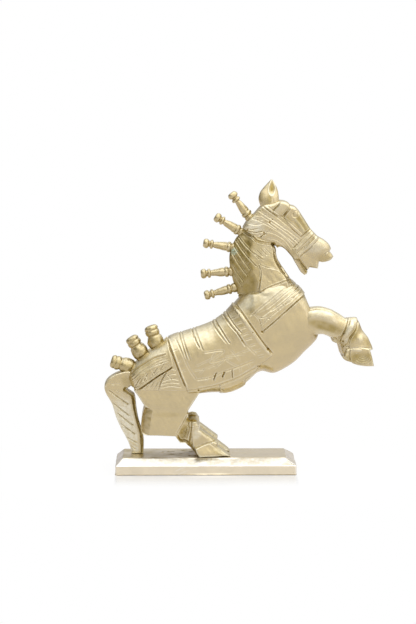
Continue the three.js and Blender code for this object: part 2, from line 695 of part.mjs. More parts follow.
// The screws: two up into the hind hooves and one into the tail.
const SCREWS = [
  ...SIDES.map(({ word, side }) => ({
    name: `hoof_screw_${word}`,
    at: [HOOF_SCREW_X, side * HIND_LEG_CENTRE],
    diameter: HOOF_SCREW_DIAMETER,
    head: HOOF_SCREW_HEAD_DIAMETER,
  })),
  {
    name: 'tail_screw',
    at: [TAIL_SCREW_X, 0],
    diameter: TAIL_SCREW_DIAMETER,
    head: TAIL_SCREW_HEAD_DIAMETER,
  },
];

// Cuts the room of every screw out of a solid whose own zero lies at the given height.
function screwed(solid, height) {
  return SCREWS.reduce((body, screw) => {
    const room = screwRoom(screw.diameter, screw.head);
    room.translate(screw.at[0], screw.at[1], -height);
    return body.subtract(solidOf(room));
  }, solid);
}

const manePegRoom = pegRoom(MANE_PEG_RING_DIAMETER, MANE_PEG_SPIGOT_DIAMETER, MANE_PEG_SPIGOT_LENGTH,
  MANE_PEG_LENGTH);
const rumpPegRoom = pegRoom(RUMP_PEG_BARREL_DIAMETER, RUMP_PEG_SPIGOT_DIAMETER, RUMP_PEG_SPIGOT_LENGTH,
  RUMP_PEG_LENGTH);

addPiece(group, 'plinth', geometryOf(screwed(solidOf(plinthGeometry()), 0)), PLINTH_GOLD);
SCREWS.forEach((screw) => {
  const place = { at: new THREE.Vector3(...screw.at, 0), turn: new THREE.Quaternion() };
  addPiece(group, screw.name, screwGeometry(screw.diameter, screw.head), STEEL, place);
});

const torsoRoom = harnessedTorso(SEAT_GAP);
const torso = drilled(seatedPegs(harnessedTorso(0), RUMP_PEGS, rumpPegRoom));
addPiece(horse, 'torso', geometryOf(torso), PALE_GOLD);

const headRoom = headForm(SEAT_GAP);
const head = drilled(seatedPegs(headForm(0), MANE_PEGS, manePegRoom));
addPiece(horse, 'head', geometryOf(head), PALE_GOLD);
addPiece(horse, 'lower_jaw', geometryOf(jawForm().subtract(headRoom)), PALE_GOLD);

const neck = neckForm(0).subtract(torsoRoom).subtract(headRoom);
addPiece(horse, 'neck', geometryOf(drilled(seatedPegs(neck, MANE_PEGS, manePegRoom))), PALE_GOLD);

SIDES.forEach(({ word, side }) => {
  addPiece(horse, `ear_${word}`, geometryOf(earForm(side).subtract(headRoom)), PALE_GOLD);
  const foreleg = drilled(forelegForm(side).subtract(torsoRoom));
  addPiece(horse, `foreleg_${word}`, geometryOf(foreleg), PALE_GOLD);
  const hindLeg = drilled(hindLegForm(side, 0).subtract(torsoRoom));
  addPiece(horse, `hind_leg_${word}`, geometryOf(screwed(hindLeg, PLINTH_HEIGHT)), PALE_GOLD);
});

const legRooms = SIDES.map(({ side }) => hindLegForm(side, SEAT_GAP));
const tail = legRooms.reduce((body, room) => body.subtract(room), tailForm().subtract(torsoRoom));
const notchedTail = seatedPegs(tail, RUMP_PEGS, rumpPegRoom);
addPiece(horse, 'tail', geometryOf(screwed(drilled(notchedTail), PLINTH_HEIGHT)), PALE_GOLD);

MANE_PEGS.forEach((peg, i) => {
  addPiece(horse, `mane_peg_${i + 1}`, manePegGeometry(), TURNED_GOLD, pegPlace(peg));
});
RUMP_PEGS.forEach((peg, i) => {
  addPiece(horse, `rump_peg_${i + 1}`, rumpPegGeometry(), TURNED_GOLD, pegPlace(peg));
});
PINS.forEach((pin) => {
  addPiece(horse, pin.name, rod(pin.diameter, pin.length), STEEL, pinPlace(pin));
});

export default group;
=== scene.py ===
"""Rearing horse ornament: cast and hand-carved metal castings on a chamfered plinth.

Every visible casting is modelled here in millimetres, x along the body and z above the plinth's top
face, and stands for the node of the same piece. The near side of the horse is -Y.
"""

import math

import bpy
import numpy as np
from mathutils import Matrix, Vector
from mathutils.geometry import delaunay_2d_cdt


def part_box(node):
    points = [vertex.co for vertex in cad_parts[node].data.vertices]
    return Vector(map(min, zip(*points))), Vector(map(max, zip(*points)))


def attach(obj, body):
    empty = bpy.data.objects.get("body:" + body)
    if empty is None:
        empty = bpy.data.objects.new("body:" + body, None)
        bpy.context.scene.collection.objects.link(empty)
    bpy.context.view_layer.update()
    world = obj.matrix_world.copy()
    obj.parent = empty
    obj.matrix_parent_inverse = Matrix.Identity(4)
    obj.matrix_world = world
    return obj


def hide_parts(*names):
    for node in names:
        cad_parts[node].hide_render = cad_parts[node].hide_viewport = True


bl_info = {
    "name": "Rearing horse ornament",
    "version": (1, 0, 0),
    "blender": (4, 5, 0),
    "location": "3D View > Sidebar > Ornament",
    "description": "Builds the carved castings, the plinth and the studio of a rearing horse ornament",
    "category": "Object",
}

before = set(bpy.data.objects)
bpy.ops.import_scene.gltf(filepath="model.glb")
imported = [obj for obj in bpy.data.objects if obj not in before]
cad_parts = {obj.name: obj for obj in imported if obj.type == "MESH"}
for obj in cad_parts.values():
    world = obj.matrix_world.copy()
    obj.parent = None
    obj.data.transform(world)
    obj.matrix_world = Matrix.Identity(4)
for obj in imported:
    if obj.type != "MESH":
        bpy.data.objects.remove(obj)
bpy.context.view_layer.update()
PLINTH_LOW, PLINTH_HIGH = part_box("plinth")
MM = 0.001
TAU = 2 * math.pi

# Side outlines and stations of the castings, in millimetres over the plinth's top face.
# A torso station is back x and z, belly x and z, half width, and the squareness of the section's upper
# and lower half. Over the haunches the lower half is nearly square, so the harness hangs straight down.
TORSO_STATIONS = (
    (-75.9, 79.7, -73.1, 70.7, 15.0, 2.2, 7.0),
    (-71.9, 89.2, -66.9, 66.7, 24.7, 2.5, 9.0),
    (-59.8, 101.1, -51.9, 66.2, 26.0, 2.8, 9.0),
    (-45.4, 111.2, -33.8, 65.7, 26.0, 2.9, 9.0),
    (-34.7, 118.3, -15.7, 64.4, 26.9, 2.7, 8.0),
    (-14.7, 124.8, 4.4, 64.6, 28.0, 2.5, 4.0),
    (6.0, 132.4, 22.0, 64.8, 28.0, 2.4, 3.2),
    (21.3, 143.8, 39.2, 71.8, 27.4, 2.4, 2.8),
    (31.8, 155.9, 54.6, 83.4, 27.4, 2.5, 2.5),
    (43.3, 167.0, 69.0, 82.2, 28.0, 2.6, 2.6),
    (57.3, 175.5, 85.2, 90.2, 27.2, 2.6, 2.6),
    (71.0, 180.0, 100.3, 104.6, 25.2, 2.6, 2.6),
    (84.9, 175.6, 111.6, 116.7, 22.4, 2.5, 2.5),
    (96.6, 164.3, 113.3, 123.6, 18.5, 2.4, 2.4),
    (102.9, 151.0, 110.5, 131.5, 11.2, 2.2, 2.2),
)
CLOTH = (
    (-47.0, 133.0), (-40.3, 119.3), (-31.7, 102.5), (-24.7, 84.1), (-18.4, 68.4), (-17.0, 58.0),
    (15.0, 58.0), (39.0, 74.0), (51.9, 91.0), (65.3, 102.6), (58.3, 113.1), (46.0, 129.9),
    (35.9, 144.1), (27.5, 152.6), (19.0, 168.0),
)
BREAST_STRAP = (
    (56.0, 126.8), (64.5, 133.6), (73.8, 141.0), (81.7, 149.3), (88.2, 154.9), (95.2, 159.6),
    (106.0, 164.8), (100.0, 176.0), (87.5, 166.0), (79.4, 159.4), (70.9, 152.6), (63.0, 146.4),
    (53.4, 139.4),
)
SHOULDER_PLATE = (
    (46.0, 146.4), (51.4, 142.2), (59.0, 144.8), (70.6, 153.6), (82.5, 163.5), (92.0, 172.0),
    (84.0, 190.0), (30.0, 176.0), (45.0, 161.0),
)
CRUPPER = (
    (-84.0, 88.0), (-72.0, 64.8), (-69.6, 66.8), (-59.8, 74.0), (-44.8, 84.4), (-39.5, 87.6),
    (-32.0, 93.4), (-38.0, 116.0), (-62.0, 112.0),
)

# A neck station is crest x and z, throat x and z, and a share of the half width.
NECK_STATIONS = (
    (37.4, 149.5, 91.3, 163.2, 1.0),
    (32.5, 160.4, 84.8, 176.3, 0.92),
    (27.5, 175.2, 79.8, 183.7, 0.72),
    (24.0, 191.9, 73.8, 192.3, 0.55),
    (24.4, 203.1, 70.6, 199.5, 0.42),
    (29.2, 215.0, 69.7, 207.6, 0.28),
    (36.7, 226.2, 66.6, 215.9, 0.1),
    (45.1, 236.0, 64.1, 226.2, 0.0),
)
NECK_TOP_HALF = 12.5
NECK_BASE_HALF = 21.0
# Half of the neck's section: distance towards the crest, and share of the half width.
NECK_SECTION = ((1.0, 0.0), (1.0, 0.16), (0.9, 0.34), (0.16, 1.0), (-0.84, 0.9), (-1.0, 0.5), (-1.0, 0.0))

HEAD_OUTLINE = (
    (37.2, 227.7), (43.2, 222.4), (49.2, 218.2), (57.0, 215.2), (64.6, 213.0), (68.6, 210.8), (71.1, 208.2),
    (73.4, 209.2), (75.4, 209.0), (79.0, 206.6), (82.2, 203.2), (85.4, 199.4), (88.0, 195.8),
    (92.6, 196.2), (96.2, 191.3), (101.2, 185.5), (103.4, 188.5), (111.8, 187.2), (112.8, 194.3),
    (116.0, 193.6), (119.1, 193.9), (122.0, 194.6), (124.6, 195.9), (127.2, 199.0), (125.6, 201.6),
    (123.4, 204.2), (124.7, 207.2), (122.9, 211.0), (120.4, 213.6), (117.2, 215.9), (112.3, 218.6),
    (108.4, 222.4), (104.2, 226.9), (100.6, 232.4), (96.5, 238.8), (93.4, 243.6), (90.8, 247.1),
    (88.0, 249.2), (84.4, 250.2), (82.6, 252.2), (80.1, 253.6), (76.8, 254.5), (73.1, 254.7), (66.0, 252.4),
    (57.0, 250.3), (47.7, 240.8), (40.8, 233.9),
)
JAW_OUTLINE = (
    (85.6, 201.0), (92.4, 197.0), (97.2, 190.8), (101.6, 184.6), (100.8, 182.0), (98.4, 180.8), (94.8, 183.8),
    (91.0, 190.0), (87.6, 195.8),
)
# An ear station is a share of its height, the middle and half length along the head, and a thickness.
EAR_FOOT_Z = 245.0
EAR_TIP_Z = 275.05
EAR_FOOT_Y = 7.6
EAR_TIP_Y = 1.6
EAR_STATIONS = (
    (0.0, 65.0, 5.6, 6.7), (0.16, 63.4, 8.8, 8.4), (0.36, 62.8, 9.9, 8.4), (0.54, 63.1, 9.2, 7.6),
    (0.72, 64.2, 6.9, 6.0), (0.88, 65.1, 3.5, 4.2), (1.0, 65.9, 0.5, 1.4),
)

# A foreleg station is front x and z, rear x and z, and half width.
FORELEG_STATIONS = (
    (92.7, 147.4, 97.8, 120.3, 9.5),
    (104.1, 149.2, 108.3, 121.2, 10.0),
    (113.6, 150.0, 115.7, 122.2, 10.0),
    (123.4, 147.4, 121.7, 121.0, 9.6),
    (132.2, 142.8, 127.0, 118.6, 9.2),
    (141.6, 137.4, 130.2, 115.4, 9.2),
    (150.6, 137.0, 132.8, 112.4, 9.5),
    (155.8, 126.2, 134.2, 107.5, 9.6),
    (162.0, 118.6, 135.4, 103.4, 9.8),
    (166.6, 107.2, 137.4, 101.4, 10.0),
)
FORE_HOOF = (
    (136.9, 100.6), (138.0, 104.4), (139.4, 108.4), (152.0, 110.4), (162.6, 108.6), (164.2, 104.1),
    (167.4, 90.9), (158.3, 91.0), (148.9, 92.8), (146.2, 94.8), (142.9, 95.4), (139.4, 97.4),
)
TUFT = (
    (126.4, 122.4), (126.4, 118.4), (127.6, 115.4), (130.2, 113.8), (133.0, 113.0), (138.0, 116.0),
    (136.0, 124.0),
)

HIND_LEG = (
    (-71.2, 67.4), (-66.0, 60.0), (-60.4, 51.0), (-63.2, 42.0), (-64.4, 33.0), (-63.4, 24.4), (-60.6, 22.6),
    (-45.0, 21.8), (-30.2, 21.0), (-27.9, 17.6), (-25.5, 14.6), (-20.3, 14.4), (-6.6, 0.0), (24.6, 0.0),
    (23.4, 1.7), (11.9, 10.8), (12.5, 14.9), (0.4, 24.1), (-5.8, 28.7), (-6.3, 33.8), (-9.4, 37.4),
    (-13.4, 38.2), (-17.0, 37.2), (-18.0, 46.4), (-9.7, 59.2), (-4.8, 67.2), (-12.0, 72.0), (-60.0, 72.0),
)
TAIL = (
    (-69.8, 72.8), (-73.7, 84.0), (-79.0, 84.4), (-84.0, 83.4), (-89.0, 81.8), (-93.2, 79.6), (-97.6, 76.4),
    (-100.6, 72.2), (-101.12, 67.1), (-99.3, 61.2), (-96.0, 55.6), (-93.3, 50.2), (-91.4, 43.4),
    (-89.6, 37.2), (-85.1, 26.8), (-78.8, 14.5), (-75.1, 4.8), (-74.5, 0.0), (-62.5, 0.0),
    (-62.2, 14.6), (-63.5, 22.4), (-67.3, 34.1), (-69.5, 46.4), (-70.8, 58.1), (-71.8, 60.7),
    (-79.8, 66.1),
)

# A peg is its foot on the body and the point that its head aims at.
MANE_PEGS = (
    (44.1, 237.2, 25.5, 261.8), (36.2, 222.7, 9.6, 238.8), (28.6, 207.4, -1.9, 212.3),
    (26.3, 183.8, -4.6, 181.3), (29.0, 167.4, -1.0, 159.4),
)
RUMP_PEGS = ((-71.4, 86.4, -94.4, 94.0), (-62.0, 97.4, -75.0, 118.0), (-47.3, 106.2, -55.4, 129.7))
# Turned profiles: radius and height from the foot.
MANE_PEG_PROFILE = (
    (0.0, -2.6), (4.3, -2.6), (4.7, -2.0), (4.7, 1.2), (4.5, 2.0), (4.0, 2.5), (3.9, 3.1), (4.4, 3.5),
    (5.1, 4.1), (5.3, 5.0), (5.25, 6.0), (4.8, 6.8), (4.2, 7.2), (4.2, 7.7), (4.5, 8.2), (4.4, 10.0),
    (4.05, 13.0), (3.5, 16.5), (3.0, 19.6), (2.8, 20.7), (3.0, 21.1), (4.0, 21.4), (4.5, 22.0),
    (4.5, 23.2), (4.1, 23.9),
    (3.2, 24.3), (2.9, 24.8), (3.2, 25.4), (4.2, 26.1), (4.75, 27.2), (4.8, 28.4), (4.5, 29.6), (3.9, 30.5),
    (3.1, 31.0), (1.2, 31.1), (0.0, 31.0),
)
RUMP_PEG_PROFILE = (
    (0.0, -3.0), (6.4, -3.0), (6.8, -2.2), (6.8, 0.8), (6.9, 1.6), (7.5, 2.6), (8.0, 4.0), (8.25, 6.0),
    (8.2, 8.5), (7.8, 10.5), (7.2, 12.2), (6.5, 13.3), (6.1, 14.0), (6.2, 14.7), (6.8, 15.4), (7.1, 16.6),
    (7.05, 18.4), (6.7, 19.2), (6.3, 19.7), (6.6, 20.4), (6.8, 21.6), (6.4, 22.8), (5.5, 23.8), (4.0, 24.4),
    (1.8, 24.5), (0.0, 24.4),
)

# A set of pegs is its name, places, profile, sides, lumps and patina.
PEG_SETS = (
    ("mane_peg", MANE_PEGS, MANE_PEG_PROFILE, 48, 0.16, 0.3),
    ("rump_peg", RUMP_PEGS, RUMP_PEG_PROFILE, 72, 0.22, 0.5),
)
PEG_SEED = 100

# Half widths and places across the horse. The near side is at -1 and the far side at 1.
SIDES = (("near", -1), ("far", 1))
HIND_LEG_INNER = 3.5
HIND_LEG_OUTER = 25.3
FORELEG_CENTRE = 12.4
FAR_FORELEG_DROP = 3.0
FORE_HOOF_HALF = 10.6
CHEEK_HALF = 14.0
MUZZLE_HALF = 10.5
JAW_HALF = 7.5
PLINTH_TOP_SHIFT = -1.2

# Cuts that several carved lines share: width, depth and how much residue the line holds.
RUNG_CUT = (1.4, 0.34, 0.09)
HATCH_CUT = (1.3, 0.22, 0.06)
FINE_CUT = (1.1, 0.24, 0.06)
TICK_CUT = (1.3, 0.3, 0.18)
NOTCH_CUT = (1.1, 0.26, 0.12)
MANE_CUT = (1.3, 0.7, 0.12)
BARB_CUT = (1.1, 0.5, 0.05)
BRIDLE_CUT = (1.3, 0.32, 0.1)
HARNESS_CUT = (1.2, 0.43, 0.11)
BUCKLE_CUT = (1.1, 0.34, 0.11)

# Carved lines of the torso: path, width, depth and residue.
CLOTH_LINES = (
    (((-43.4, 124.6), (-39.5, 120.3), (-33.0, 105.0), (-25.9, 86.0), (-20.0, 71.6)), 1.9, 0.75, 0.62),
    (((-30.0, 118.4), (-22.8, 104.0), (-16.8, 90.5), (-9.2, 78.9)), 1.5, 0.34, 0.11),
    (((-27.4, 125.4), (-22.8, 111.7), (-18.7, 99.2)), 1.7, 0.52, 0.21),
    (((-24.9, 126.6), (-20.5, 112.1), (-15.2, 98.2)), 1.6, 0.45, 0.15),
    (((-15.4, 130.6), (-10.1, 117.4), (-5.9, 109.7)), 1.5, 0.75, 0.45),
    (((-12.4, 131.6), (-6.7, 117.4), (-2.7, 107.8)), 1.6, 0.49, 0.17),
    (((4.0, 137.6), (12.2, 125.4), (20.9, 115.0)), 1.6, 0.49, 0.17),
    (((7.6, 138.8), (15.6, 127.0), (24.0, 114.7)), 1.5, 0.75, 0.42),
    (((15.6, 143.6), (25.1, 131.7), (32.3, 123.5), (39.6, 111.9)), 1.6, 0.75, 0.5),
    (((19.2, 145.8), (27.9, 133.6), (35.4, 125.0)), 1.5, 0.7, 0.4),
    (((29.9, 127.9), (38.4, 115.4), (49.9, 103.5)), 1.5, 0.3, 0.09),
    (((30.4, 152.0), (36.8, 143.4), (47.0, 129.4), (59.2, 112.4), (66.4, 104.4)), 1.7, 0.65, 0.55),
    (((-9.2, 78.6), (4.6, 81.2), (17.5, 86.6), (30.9, 91.4), (47.1, 97.7)), 1.6, 0.38, 0.11),
    (((-19.0, 68.0), (-9.2, 69.3), (11.8, 73.5), (30.9, 80.4), (51.8, 91.3)), 1.6, 0.45, 0.21),
    (((15.3, 70.4), (18.5, 67.6), (28.0, 69.6), (38.0, 75.0), (38.5, 78.4), (48.0, 83.6), (53.4, 90.0)),
     1.5, 0.6, 0.45),
    (((-1.9, 105.5), (17.5, 107.4), (4.6, 96.6), (27.0, 101.6)), *HATCH_CUT),
    (((9.9, 108.2), (5.7, 100.1)), 1.1, 0.18, 0.06),
    (((19.4, 101.6), (38.5, 104.8)), *HATCH_CUT),
    (((29.9, 103.9), (44.2, 109.6)), *HATCH_CUT),
    (((-9.6, 92.4), (-1.0, 96.6), (8.4, 101.0)), 1.1, 0.26, 0.06),
    (((-11.6, 88.0), (-2.0, 89.4), (9.4, 93.6)), *FINE_CUT),
    (((8.2, 90.6), (14.0, 95.0), (21.0, 101.4)), 1.1, 0.26, 0.05),
    (((20.0, 98.6), (26.4, 94.4), (31.0, 92.4)), *FINE_CUT),
    (((24.6, 108.6), (33.8, 97.8)), 1.1, 0.16, 0.05),
    (((-6.2, 84.4), (-1.2, 90.6)), *FINE_CUT),
    (((10.7, 86.6), (8.6, 81.6), (7.6, 77.4)), 1.6, 0.8, 0.85),
    (((18.5, 87.0), (17.0, 83.6), (16.2, 80.4)), 1.7, 0.9, 0.95),
    (((25.7, 89.5), (26.0, 85.0), (26.1, 79.8)), 1.4, 0.7, 0.8),
    (((1.4, 82.0), (0.2, 77.6)), *TICK_CUT),
    (((33.4, 91.6), (34.6, 86.0)), *TICK_CUT),
    (((41.4, 95.0), (43.6, 90.6)), 1.3, 0.3, 0.15),
    (((-41.4, 115.6), (-34.8, 117.5)), *TICK_CUT),
    (((-34.4, 105.6), (-28.6, 108.6)), *NOTCH_CUT),
    (((-29.6, 95.4), (-23.6, 98.0)), *NOTCH_CUT),
    (((-26.6, 86.0), (-19.6, 88.6)), *NOTCH_CUT),
    (((25.4, 137.6), (34.6, 142.6)), *RUNG_CUT),
    (((28.6, 132.6), (37.0, 136.4)), *RUNG_CUT),
    (((31.8, 127.6), (40.2, 131.2)), *RUNG_CUT),
    (((35.8, 122.6), (42.8, 125.6)), *RUNG_CUT),
    (((38.6, 118.0), (46.4, 120.6)), *RUNG_CUT),
    (((43.2, 112.4), (49.9, 114.6)), *RUNG_CUT),
    (((47.4, 106.8), (54.6, 109.0)), *RUNG_CUT),
    (((51.0, 101.6), (58.5, 103.8)), *RUNG_CUT),
    (((22.5, 141.6), (30.4, 147.0)), *RUNG_CUT),
)
# A ridge is its path, width and height.
CLOTH_EDGES = (
    (((-41.8, 123.6), (-37.2, 117.6), (-30.6, 103.0), (-23.6, 84.4), (-18.0, 70.6)), 2.2, 0.5),
    (((26.6, 152.0), (33.6, 143.0), (44.0, 128.8), (56.4, 111.6), (63.6, 103.6)), 2.4, 0.5),
    (((-8.0, 71.8), (1.0, 72.6), (14.0, 76.2), (32.0, 82.8), (50.0, 93.4)), 1.8, 0.3),
)
STRAP_LINES = (
    (((104.0, 163.8), (95.2, 159.8), (83.9, 150.8), (68.8, 137.4), (56.5, 127.3)), 1.7, 0.9, 0.62),
    (((101.0, 168.0), (94.3, 165.1), (80.1, 154.6), (66.9, 144.1), (53.6, 132.6)), 1.3, 0.42, 0.21),
    (((92.0, 175.0), (79.1, 168.9), (68.7, 161.3), (55.4, 150.8), (44.1, 142.2)), 1.5, 0.5, 0.25),
    (((92.6, 167.8), (84.4, 161.8), (74.6, 153.8), (64.0, 146.6)), 1.3, 0.42, 0.15),
    (((88.0, 169.4), (80.0, 164.6), (70.6, 157.0), (60.0, 148.8)), 1.3, 0.38, 0.12),
    (((86.4, 160.4), (82.0, 158.0), (78.6, 153.6), (83.4, 155.8), (87.4, 160.0)), 1.1, 0.38, 0.12),
    (((77.0, 151.4), (74.8, 153.8)), *BUCKLE_CUT),
    (((74.4, 149.2), (72.2, 151.4)), *BUCKLE_CUT),
    (((71.8, 147.0), (69.6, 149.2)), *BUCKLE_CUT),
    (((50.0, 141.6), (56.4, 140.2), (61.4, 142.4)), 1.1, 0.3, 0.2),
    (((60.4, 140.6), (64.0, 138.4)), 1.1, 0.4, 0.35),
    (((54.6, 134.8), (52.6, 138.6), (47.8, 143.8)), 1.2, 0.25, 0.12),
)
CRUPPER_LINES = (
    (((-71.4, 65.4), (-60.8, 72.6), (-46.0, 83.0), (-39.5, 86.8), (-32.6, 91.4)), 1.6, 0.9, 0.85),
    (((-72.0, 69.2), (-60.4, 76.6), (-46.6, 86.4), (-35.0, 94.2)), 1.2, 0.43, 0.17),
    (((-38.8, 86.5), (-43.8, 77.9), (-47.1, 67.6)), 1.4, 0.7, 0.62),
    (((-75.4, 80.4), (-69.6, 87.0), (-61.6, 93.2), (-51.0, 99.6), (-39.6, 103.6)), 1.5, 0.7, 0.5),
    (((-73.4, 77.4), (-66.4, 84.2), (-58.4, 89.6), (-47.0, 96.4), (-38.4, 99.4)), 1.3, 0.47, 0.17),
    (((-69.6, 72.2), (-66.0, 79.0), (-62.0, 82.6)), 1.1, 0.5, 0.45),
    (((-66.2, 73.4), (-62.6, 80.8)), 1.1, 0.5, 0.45),
    (((-61.8, 76.8), (-57.4, 85.8)), 1.2, 0.47, 0.21),
    (((-57.8, 79.4), (-60.4, 86.4)), 1.1, 0.43, 0.19),
    (((-54.0, 82.4), (-47.4, 91.4)), 1.2, 0.47, 0.18),
    (((-50.6, 84.0), (-54.0, 90.0)), 1.1, 0.4, 0.17),
    (((-46.4, 87.8), (-41.0, 95.4)), 1.2, 0.43, 0.15),
    (((-46.0, 94.4), (-36.6, 97.6)), 1.1, 0.38, 0.11),
    (((-64.0, 84.6), (-54.0, 91.0), (-42.0, 95.6)), 1.1, 0.33, 0.09),
    (((-44.6, 76.4), (-34.0, 79.4), (-26.4, 78.6)), *HARNESS_CUT),
    (((-45.6, 73.4), (-35.0, 75.8), (-25.0, 75.0)), *HARNESS_CUT),
    (((-46.0, 70.2), (-35.0, 72.2), (-23.2, 71.0)), *HARNESS_CUT),
    (((-40.4, 81.4), (-33.0, 84.4), (-28.4, 84.0)), 1.1, 0.4, 0.09),
    (((-41.0, 86.8), (-33.6, 89.4), (-29.0, 88.0)), 1.1, 0.36, 0.07),
    (((-38.6, 84.2), (-33.6, 78.4)), 1.1, 0.34, 0.07),
    (((-52.0, 68.0), (-47.6, 76.6)), 1.2, 0.43, 0.17),
    (((-56.6, 67.8), (-50.6, 78.6)), 1.1, 0.38, 0.12),
    (((-61.4, 67.6), (-54.6, 76.8)), 1.1, 0.36, 0.11),
    (((-65.6, 67.4), (-60.4, 73.0)), 1.1, 0.36, 0.11),
    (((-70.0, 66.9), (-50.4, 66.9), (-34.0, 66.5), (-18.6, 66.7)), 1.6, 0.6, 0.45),
)
# Pits that hold dark residue: place, radius and depth.
TORSO_PITS = (
    ((55.6, 126.6), 1.6, 1.1), ((61.5, 109.0), 1.7, 1.1), ((46.6, 126.0), 0.9, 0.5), ((53.4, 90.6), 1.2, 0.8),
    ((-7.3, 68.3), 1.3, 0.9), ((51.6, 91.6), 1.1, 0.7), ((35.6, 117.6), 0.9, 0.5), ((29.4, 128.0), 0.8, 0.4),
    ((-38.6, 119.6), 1.0, 0.6), ((63.6, 107.0), 0.9, 0.5),
)
# A panel is its outline, its height as a share of the cloth's, and the width of its edge.
TORSO_PANELS = (
    (CLOTH, 1.0, 1.0), (BREAST_STRAP, 0.8, 0.9), (SHOULDER_PLATE, 0.5, 6.0), (CRUPPER, 0.9, 0.9),
)
# Ovals: centre, half length, half width and turn. A share of wear comes last, and a height comes first.
TORSO_DARK = (((-62.0, 90.0), 14.0, 7.0, 35.0, 0.35),)
# Painted highlights on the shoulder plate and the withers.
TORSO_PAINTED_HIGHLIGHTS = (((70.0, 164.0), 18.0, 8.0, 20.0, 0.5), ((41.0, 157.0), 12.0, 8.0, 45.0, 0.6))
TORSO_SWELLS = ((0.6, (61.0, 166.0), 6.0, 3.0, 20.0), (-1.3, (49.0, 167.5), 8.0, 4.0, 10.0))
# Where the cloth's lower flap hangs below the belly, and how far.
FLAP = (13.6, 39.4)
FLAP_DROP = 0.95
# The sunken band that the rump pegs stand in: half width, front end and depth.
PEG_BAND_HALF = 9.5
PEG_BAND_END = -35.0
PEG_BAND_DEPTH = 1.7

NECK_LINES = (
    (((31.4, 220.4), (42.4, 207.7), (57.3, 196.8)), *MANE_CUT),
    (((29.8, 215.3), (38.9, 202.6), (50.5, 190.4)), *MANE_CUT),
    (((28.4, 208.9), (36.2, 197.1), (44.0, 186.4)), *MANE_CUT),
    (((26.4, 202.4), (34.1, 189.9), (41.6, 180.3)), *MANE_CUT),
    (((25.6, 192.4), (31.5, 182.6), (37.6, 174.4)), 1.2, 0.6, 0.12),
    (((27.6, 183.0), (32.0, 175.6), (36.6, 169.4)), 1.1, 0.5, 0.12),
    (((45.9, 204.4), (53.2, 197.3)), *BARB_CUT),
    (((50.1, 206.8), (56.8, 199.9)), *BARB_CUT),
    (((54.4, 207.8), (60.8, 201.0)), *BARB_CUT),
    (((58.6, 208.6), (64.6, 202.2)), 1.0, 0.4, 0.05),
    (((66.4, 213.5), (68.2, 203.6), (71.2, 195.3), (75.3, 188.3), (81.2, 178.9)), 1.4, 0.6, 0.35),
    (((52.4, 192.8), (59.8, 189.6), (71.0, 187.0)), 1.1, 0.4, 0.1),
    (((52.3, 192.4), (54.6, 184.8), (54.2, 177.9), (52.2, 168.0)), 1.2, 0.5, 0.35),
    (((31.4, 160.4), (42.9, 161.4), (52.4, 164.5), (62.4, 169.4), (72.6, 173.4), (84.4, 178.0)),
     1.7, 0.7, 0.3),
    (((37.4, 224.6), (46.5, 219.2), (50.7, 215.3), (62.4, 212.7), (71.0, 211.9)), 2.6, 1.0, 0.35),
)
NECK_PITS = (
    ((68.4, 203.4), 0.9, 0.5), ((71.4, 195.0), 1.1, 0.7), ((78.6, 183.2), 0.9, 0.5),
    ((53.6, 176.4), 0.9, 0.4), ((69.6, 199.4), 0.8, 0.4), ((75.0, 189.4), 0.8, 0.4),
    ((66.6, 210.6), 1.9, 1.0), ((69.4, 209.4), 1.6, 0.9),
)
NECK_PANEL = (
    (52.6, 192.4), (59.8, 189.4), (70.4, 187.0), (79.0, 179.0), (84.0, 160.0), (50.0, 150.0), (54.4, 178.0),
)
NECK_DARK = (((60.0, 200.0), 12.0, 9.0, -40.0, 0.35),)
NECK_BRIGHT = (((57.0, 204.0), 11.0, 9.0, 0.0, 0.25),)
# Painted shade darkens the mane side up to the first x, and painted light lightens the throat side from the
# second, at this height.
NECK_PAINTED_SHADE_EDGE = 49.0
NECK_PAINTED_LIGHT_EDGE = 53.0
NECK_MIDDLE_Z = 190.0
VERDIGRIS = (28.0, 204.4)
VERDIGRIS_RADIUS = 3.2

